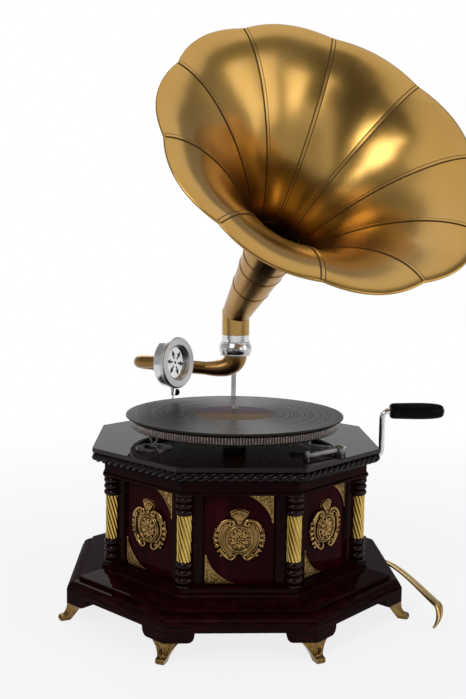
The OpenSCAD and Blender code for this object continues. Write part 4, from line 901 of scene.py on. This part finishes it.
# scrolled cartouche, right half, in millimetres from its middle
cartouche = {
    "rise": 52.5, "stretch": 1.03, "plate": 1.2,
    "outline": [(0, 27.5), (5, 27.3), (9.6, 25.2), (8.2, 20.5), (6.0, 17.6), (10, 18.2), (15.4, 17),
                (19.8, 12.6), (22.5, 7.8), (25.2, 4.6), (26.6, -2), (25.2, -8.2), (21.6, -13.2),
                (17.2, -18.6), (12.4, -23.4), (8.6, -25.6), (4.6, -24.0), (3.0, -20.2), (0, -18.4)],
    "scrolls": [  # half width at the start and the end, height, path
        (2.3, 1.1, 2.4, [(22.4, 5.5), (20.2, 10.8), (15.6, 15.2), (10.6, 16.6), (6.6, 15.4), (5.6, 12.8),
                         (7.4, 10.8), (9.8, 11.6), (10.0, 13.4), (8.7, 14.0)]),
        (1.3, 0.9, 1.9, [(16.8, 11.0), (19.8, 4.0), (20.0, -4.5), (17.0, -12.5), (13.4, -16.5)]),
        (2.0, 1.1, 2.2, [(20.2, -12.5), (16.6, -18.0), (12.4, -22.2), (8.4, -24.0), (5.2, -22.4),
                         (4.8, -19.8), (7.0, -18.6)]),
    ],
    "scrollThick": 1.7, "scrollSteps": 5, "scrollSides": 10,
    "beads": [(17.2, 7.4), (22.4, 2.2), (22.6, -4.2), (20.8, -9.4), (11.0, -20.2)],
    "leaves": [(13.0, -19.0, 1.6, (3.4, 1.5, 1.3), 130), (14.6, 12.2, 1.6, (3.0, 1.4, 1.4), -40)],
    "scallops": 6, "scallopArc": (18, -62), "scallopReach": (23.0, 25.6), "scallopShift": (0.4, -1.5),
    "ribs": 7, "ribSpread": 29.76, "ribFoot": 12.0, "ribLength": 13.6, "ribMiddle": 0.62,
    "scallop": (1.5, (3.4, 2.5, 1.7)), "bead": (2.2, (1.1, 1.1, 1.2)),  # height and sizes
    "rib": (2.2, (5.4, 1.25, 1.7)), "tip": (2.0, (1.5, 1.3, 1.5)), "crown": (0, 14.6, 2.6, (3.0, 2.2, 2.0)),
}
medallion = {
    "middle": (0.0, -2.7), "radius": 13.0, "segments": 48, "petals": 6, "firstTurn": 30, "petalHeight": 2.6,
    "boss": (0, 0, 3.4, (1.7, 1.7, 1.3)), "rings": [(0, 3.0, 1.1), (1.9, 2.2, 0.88)],  # beyond, height, thick
    "rosette": [  # half steps turned, distance from the middle, sizes
        (0, 6.4, (4.0, 2.9, 1.5)), (1, 8.6, (3.4, 1.5, 1.0)), (1, 3.0, (2.0, 1.3, 1.6)),
        (0, 10.2, (1.1, 1.1, 0.9))],
}


def blob(bm, x, y, z, sizes, turn=0):
    stretch = Matrix.Diagonal((*(s * mm for s in sizes), 1))
    place = Matrix.Translation(Vector((x, y, z)) * mm) @ turned(turn) @ stretch
    bmesh.ops.create_uvsphere(bm, u_segments=14, v_segments=8, radius=1, matrix=place)


def smoothPath(points, steps):
    path = []
    for i in range(len(points) - 1):
        a, b, c, d = (Vector((*points[min(max(i + k, 0), len(points) - 1)], 0)) for k in (-1, 0, 1, 2))
        for t in (j / steps for j in range(steps)):
            path.append(0.5 * (2 * b + (c - a) * t + (2 * a - 5 * b + 4 * c - d) * t * t
                               + (3 * b - a - 3 * c + d) * t ** 3))
    path.append(Vector((*points[-1], 0)))
    return path


def makeMedallion():
    bm = bmesh.new()
    r = medallion["radius"]
    dish = bezier([(r, 3.4, 0), (r - 1.6, 1.4, 0), (r * 0.6, 1.6, 0), (0.01, 2.8, 0)], 12)
    spinLine(bm, dish, medallion["segments"])
    for beyond, height, thick in medallion["rings"]:
        ring = [(r + beyond + thick * math.cos(a), height + thick * math.sin(a))
                for a in (math.pi * i / 6 for i in range(12))]
        spinLine(bm, ring, medallion["segments"], closed=True)
    for i in range(medallion["petals"]):
        for halfSteps, reach, sizes in medallion["rosette"]:
            turn = (360 * i + 180 * halfSteps) / medallion["petals"] + medallion["firstTurn"]
            a = math.radians(turn)
            blob(bm, reach * math.cos(a), reach * math.sin(a), medallion["petalHeight"], sizes, turn)
    blob(bm, *medallion["boss"])
    shift(bm, (*medallion["middle"], 0))
    return bm


def addScrolls(bm, side):
    for wide, slim, height, points in cartouche["scrolls"]:
        path = smoothPath(points, cartouche["scrollSteps"])
        last = len(path) - 1
        sizes = [(wide + (slim - wide) * i / last, cartouche["scrollThick"]) for i in range(last + 1)]
        sweepTube(bm, [Vector((side * p.x, p.y, height)) for p in path], sizes, cartouche["scrollSides"])
    count = cartouche["scallops"]
    start, sweep = cartouche["scallopArc"]
    across, tall = cartouche["scallopReach"]
    out, up = cartouche["scallopShift"]
    for i in range(count):
        turn = start + sweep * i / (count - 1)
        a = math.radians(turn)
        blob(bm, side * (across * math.cos(a) + out), tall * math.sin(a) + up, *cartouche["scallop"],
             turn if side > 0 else 180 - turn)
    for x, y in cartouche["beads"]:
        blob(bm, side * x, y, *cartouche["bead"])
    for x, y, z, sizes, turn in cartouche["leaves"]:
        blob(bm, side * x, y, z, sizes, side * turn)


def addShell(bm):
    foot = Vector((0, cartouche["ribFoot"]))
    for i in range(cartouche["ribs"]):
        a = math.radians(90 + cartouche["ribSpread"] * (i / (cartouche["ribs"] - 1) * 2 - 1))
        tip = foot + Vector((math.cos(a), math.sin(a))) * cartouche["ribLength"]
        middle = foot.lerp(tip, cartouche["ribMiddle"])
        blob(bm, *middle, *cartouche["rib"], math.degrees(a))
        blob(bm, *tip, *cartouche["tip"])
    blob(bm, *cartouche["crown"])


def makeCartouches():
    bm = bmesh.new()
    right = cartouche["outline"]
    loop = right + [(-x, y) for x, y in reversed(right[1:-1])]
    plate = bm.faces.new([bm.verts.new((x * mm, y * mm, 0)) for x, y in loop])
    shift(bm, (0, 0, cartouche["plate"]), raiseFace(bm, plate, True)[1])
    joinInto(bm, makeMedallion())
    addScrolls(bm, -1)
    addScrolls(bm, 1)
    addShell(bm)
    bmesh.ops.scale(bm, vec=(cartouche["stretch"], cartouche["stretch"], 1), verts=bm.verts)
    shift(bm, (0, cartouche["rise"], 0))
    copyTo(bm, [panelPlace(k) for k in range(sides) if k != panel["backFace"]])
    finishPiece("cartoucheCastings", bm, ["castBrass"], "case", ["cartouches"], 0.9)


# spandrels: a bordered plate with a stippled field in two corners of each panel
spandrel = {"leg": 32.0, "trim": 0.5, "point": 1.2, "hug": (0.52, 4.0), "curveSteps": 14, "inset": 1.0,
            "thick": 1.5, "border": 0.9, "field": 0.87, "hollow": 0.5}


def makeSpandrel():
    leg, (pull, hug), point = spandrel["leg"], spandrel["hug"], spandrel["point"]
    end = leg - spandrel["trim"]
    curve = bezier([(end, point, 0), (leg * pull, hug, 0), (hug, leg * pull, 0), (point, end, 0)],
                   spandrel["curveSteps"])
    bm = bmesh.new()
    outline = [Vector((0, 0, 0)), Vector((end, 0, 0))] + curve + [Vector((0, end, 0))]
    face = bm.faces.new([bm.verts.new(p * mm) for p in outline])
    face, verts = raiseFace(bm, face, True)
    shift(bm, (0, 0, spandrel["thick"]), verts)
    face, verts = raiseFace(bm, face, False)
    bmesh.ops.scale(bm, vec=(spandrel["field"], spandrel["field"], 1), verts=verts)
    shift(bm, (spandrel["border"], spandrel["border"], 0), verts)
    face, verts = raiseFace(bm, face, False)
    shift(bm, (0, 0, -spandrel["hollow"]), verts)
    face.material_index = 1
    shift(bm, (spandrel["inset"] - panel["halfWidth"], spandrel["inset"], 0))
    return bm


def makeSpandrels():
    bm = bmesh.new()
    middle = (0, panel["height"] / 2 * mm, 0)
    for turn in (0, math.pi):
        part = makeSpandrel()
        bmesh.ops.rotate(part, cent=middle, matrix=Matrix.Rotation(turn, 3, "Z"), verts=part.verts)
        joinInto(bm, part)
    copyTo(bm, [panelPlace(k) for k in range(sides)])
    finishPiece("spandrelPlates", bm, ["castBrass", "stippledBrass"], "case", ["spandrels"], 0.5)


makeCartouches()
makeSpandrels()

# feet: cast leaves spread under the corners, each with a rolled toe
foot = {
    "height": 18.7, "corner": 202.3, "toe": 211.6, "ball": 2.6, "instep": (5.4, 7.0), "proud": 0.4,
    "topIn": 188.3, "soleIn": 199.6, "hollow": (5.0, 6.0), "spread": 14.2, "sole": 4.1, "waist": 1.0,
    "curveSteps": 16, "rings": 30, "ringPower": 1.3, "segments": 72,
    "veins": 6, "veinDepth": 0.9, "veinFrom": 5.0, "fold": 0.414, "foldFrom": 0.25, "ridge": 0.01,
}


def lineAt(line, height):
    for a, b in zip(line, line[1:]):
        if min(a.y, b.y) <= height <= max(a.y, b.y):
            return a.x + (b.x - a.x) * (height - a.y) / ((b.y - a.y) or 1)
    return line[-1].x


def makeFeet():
    h, toe, ball, steps = (foot[k] for k in ("height", "toe", "ball", "curveSteps"))
    low, knee = foot["instep"]
    shin = foot["corner"] + foot["proud"]
    inward, bend = foot["hollow"]
    front = bezier([(toe - 2 * ball, low, 0), (shin, knee, 0), (shin, h, 0)], steps)
    back = bezier([(foot["soleIn"], 0, 0), (foot["topIn"] + inward, bend, 0), (foot["topIn"], h, 0)], steps)
    sole = foot["sole"]
    side = bezier([(sole, 0, 0), (sole + foot["waist"], h * 0.5, 0), (foot["spread"], h, 0)], steps)
    bm = bmesh.new()
    made = bmesh.ops.create_circle(bm, cap_ends=True, segments=foot["segments"], radius=1)["verts"]
    growColumn(bm, made, foot["rings"], 1 / foot["rings"])
    for v in bm.verts:
        z = h * v.co.z ** foot["ringPower"]
        across = v.co.y
        wide = lineAt(side, z)
        if v.co.x < 0:
            x = lineAt(back, z)
        else:
            tip = lineAt(front, z)
            if z < 2 * ball:
                tip = max(toe - ball + math.sqrt(max(0.0, ball ** 2 - (z - ball) ** 2)), lineAt(front, low))
            vein = 0.5 - 0.5 * math.cos(math.pi * foot["veins"] * (across + 1))
            fold = foot["fold"] * min(1.0, z / h + foot["foldFrom"]) * wide
            x = (tip - fold * math.sqrt(across ** 2 + foot["ridge"])
                 - foot["veinDepth"] * vein * min(1.0, z / foot["veinFrom"]))
        v.co = Vector((x, across * wide, z)) * mm
    moveAll(bm, turned(cornerTurn))
    copyRound(bm, sides)
    finishPiece("castFeet", bm, ["footBrass"], "case", ["feet"], 0.9)


makeFeet()

# side stay: one curved bar from the skirt, round a bend and down to the floor, darker underneath
stay = {
    "skirt": 186.9, "root": (187.0, 17.0, 32.3), "reach": 36.0, "run": 117.5, "bendZ": 24.4, "tipZ": 3.0,
    "bendOut": 0.95, "tipOut": 0.75, "tipRun": 1.12, "steps": 30, "sides": 24, "wide": 4.8, "thick": 2.7,
    "taper": (0.8, 1.1, 0.35), "shadeBelow": -0.1, "floor": 0.0001,
    "leave": (0.13, -0.24, 0.01), "arrive": (0.1, -0.28, -0.05),  # pulls on the long run
    "turnIn": (0.07, -0.2, -0.06), "turnOut": (0.22, 0.04, 0.2),  # pulls on the bent end
}


def makeStay():
    run, reach, steps = stay["run"], stay["reach"], stay["steps"]
    leave, arrive, turnIn, turnOut = (Vector(stay[k]) for k in ("leave", "arrive", "turnIn", "turnOut"))
    root = Vector(stay["root"])
    bend = Vector((stay["skirt"] + stay["bendOut"] * reach, root.y - run, stay["bendZ"]))
    tip = Vector((stay["skirt"] + stay["tipOut"] * reach, root.y - stay["tipRun"] * run, stay["tipZ"]))
    path = bezier([root, root + run * leave, bend - run * arrive, bend], steps)
    path += bezier([bend, bend + reach * turnIn, tip + reach * turnOut, tip], steps)[1:]
    thin, full, fine = stay["taper"]
    taper = [thin + (full - thin) * i / steps for i in range(steps)]
    taper += [full + (fine - full) * i / steps for i in range(steps + 1)]
    bm = bmesh.new()
    sizes = [(stay["wide"] * t, stay["thick"] * t) for t in taper]
    sweepTube(bm, path, sizes, stay["sides"], first=(1, 0, 0))
    for v in bm.verts:
        v.co.z = max(v.co.z, stay["floor"])
    bmesh.ops.recalc_face_normals(bm, faces=bm.faces)
    for face in bm.faces:
        face.material_index = 1 if face.normal.z < stay["shadeBelow"] else 0
    finishPiece("sideStay", bm, ["stayBrass", "stayShade"], "case", ["side_stay"])


makeStay()

# crank grip, turned smooth, with a recess round its bore
grip = {"start": 184.0, "height": 222.0, "length": 63.0, "radius": 10.0, "bore": 3.55, "recess": 1.6,
        "segments": 48}


def makeGrip():
    r, length, bore, recess = (grip[k] for k in ("radius", "length", "bore", "recess"))
    end = length - 0.2
    line = [(bore, 0), (r - 3.6, 0)]
    line += bezier([(r - 2.6, 0.2, 0), (r - 0.5, 1.2, 0), (r - 0.6, 8, 0)], 8)
    line += bezier([(r - 0.2, length * 0.45, 0), (r + 0.1, length - 3, 0), (r - 4, end, 0)], 12)
    line += [(bore + recess, end), (bore + recess - 0.2, length - recess), (bore, length - recess)]
    bm = bmesh.new()
    spinLine(bm, line, grip["segments"], closed=True)
    moveAll(bm, turned(90, "Y"))
    shift(bm, (grip["start"], 0, grip["height"]))
    finishPiece("crankGrip", bm, ["ebonite"], "crank_handle", ["crank_grip"])


makeGrip()
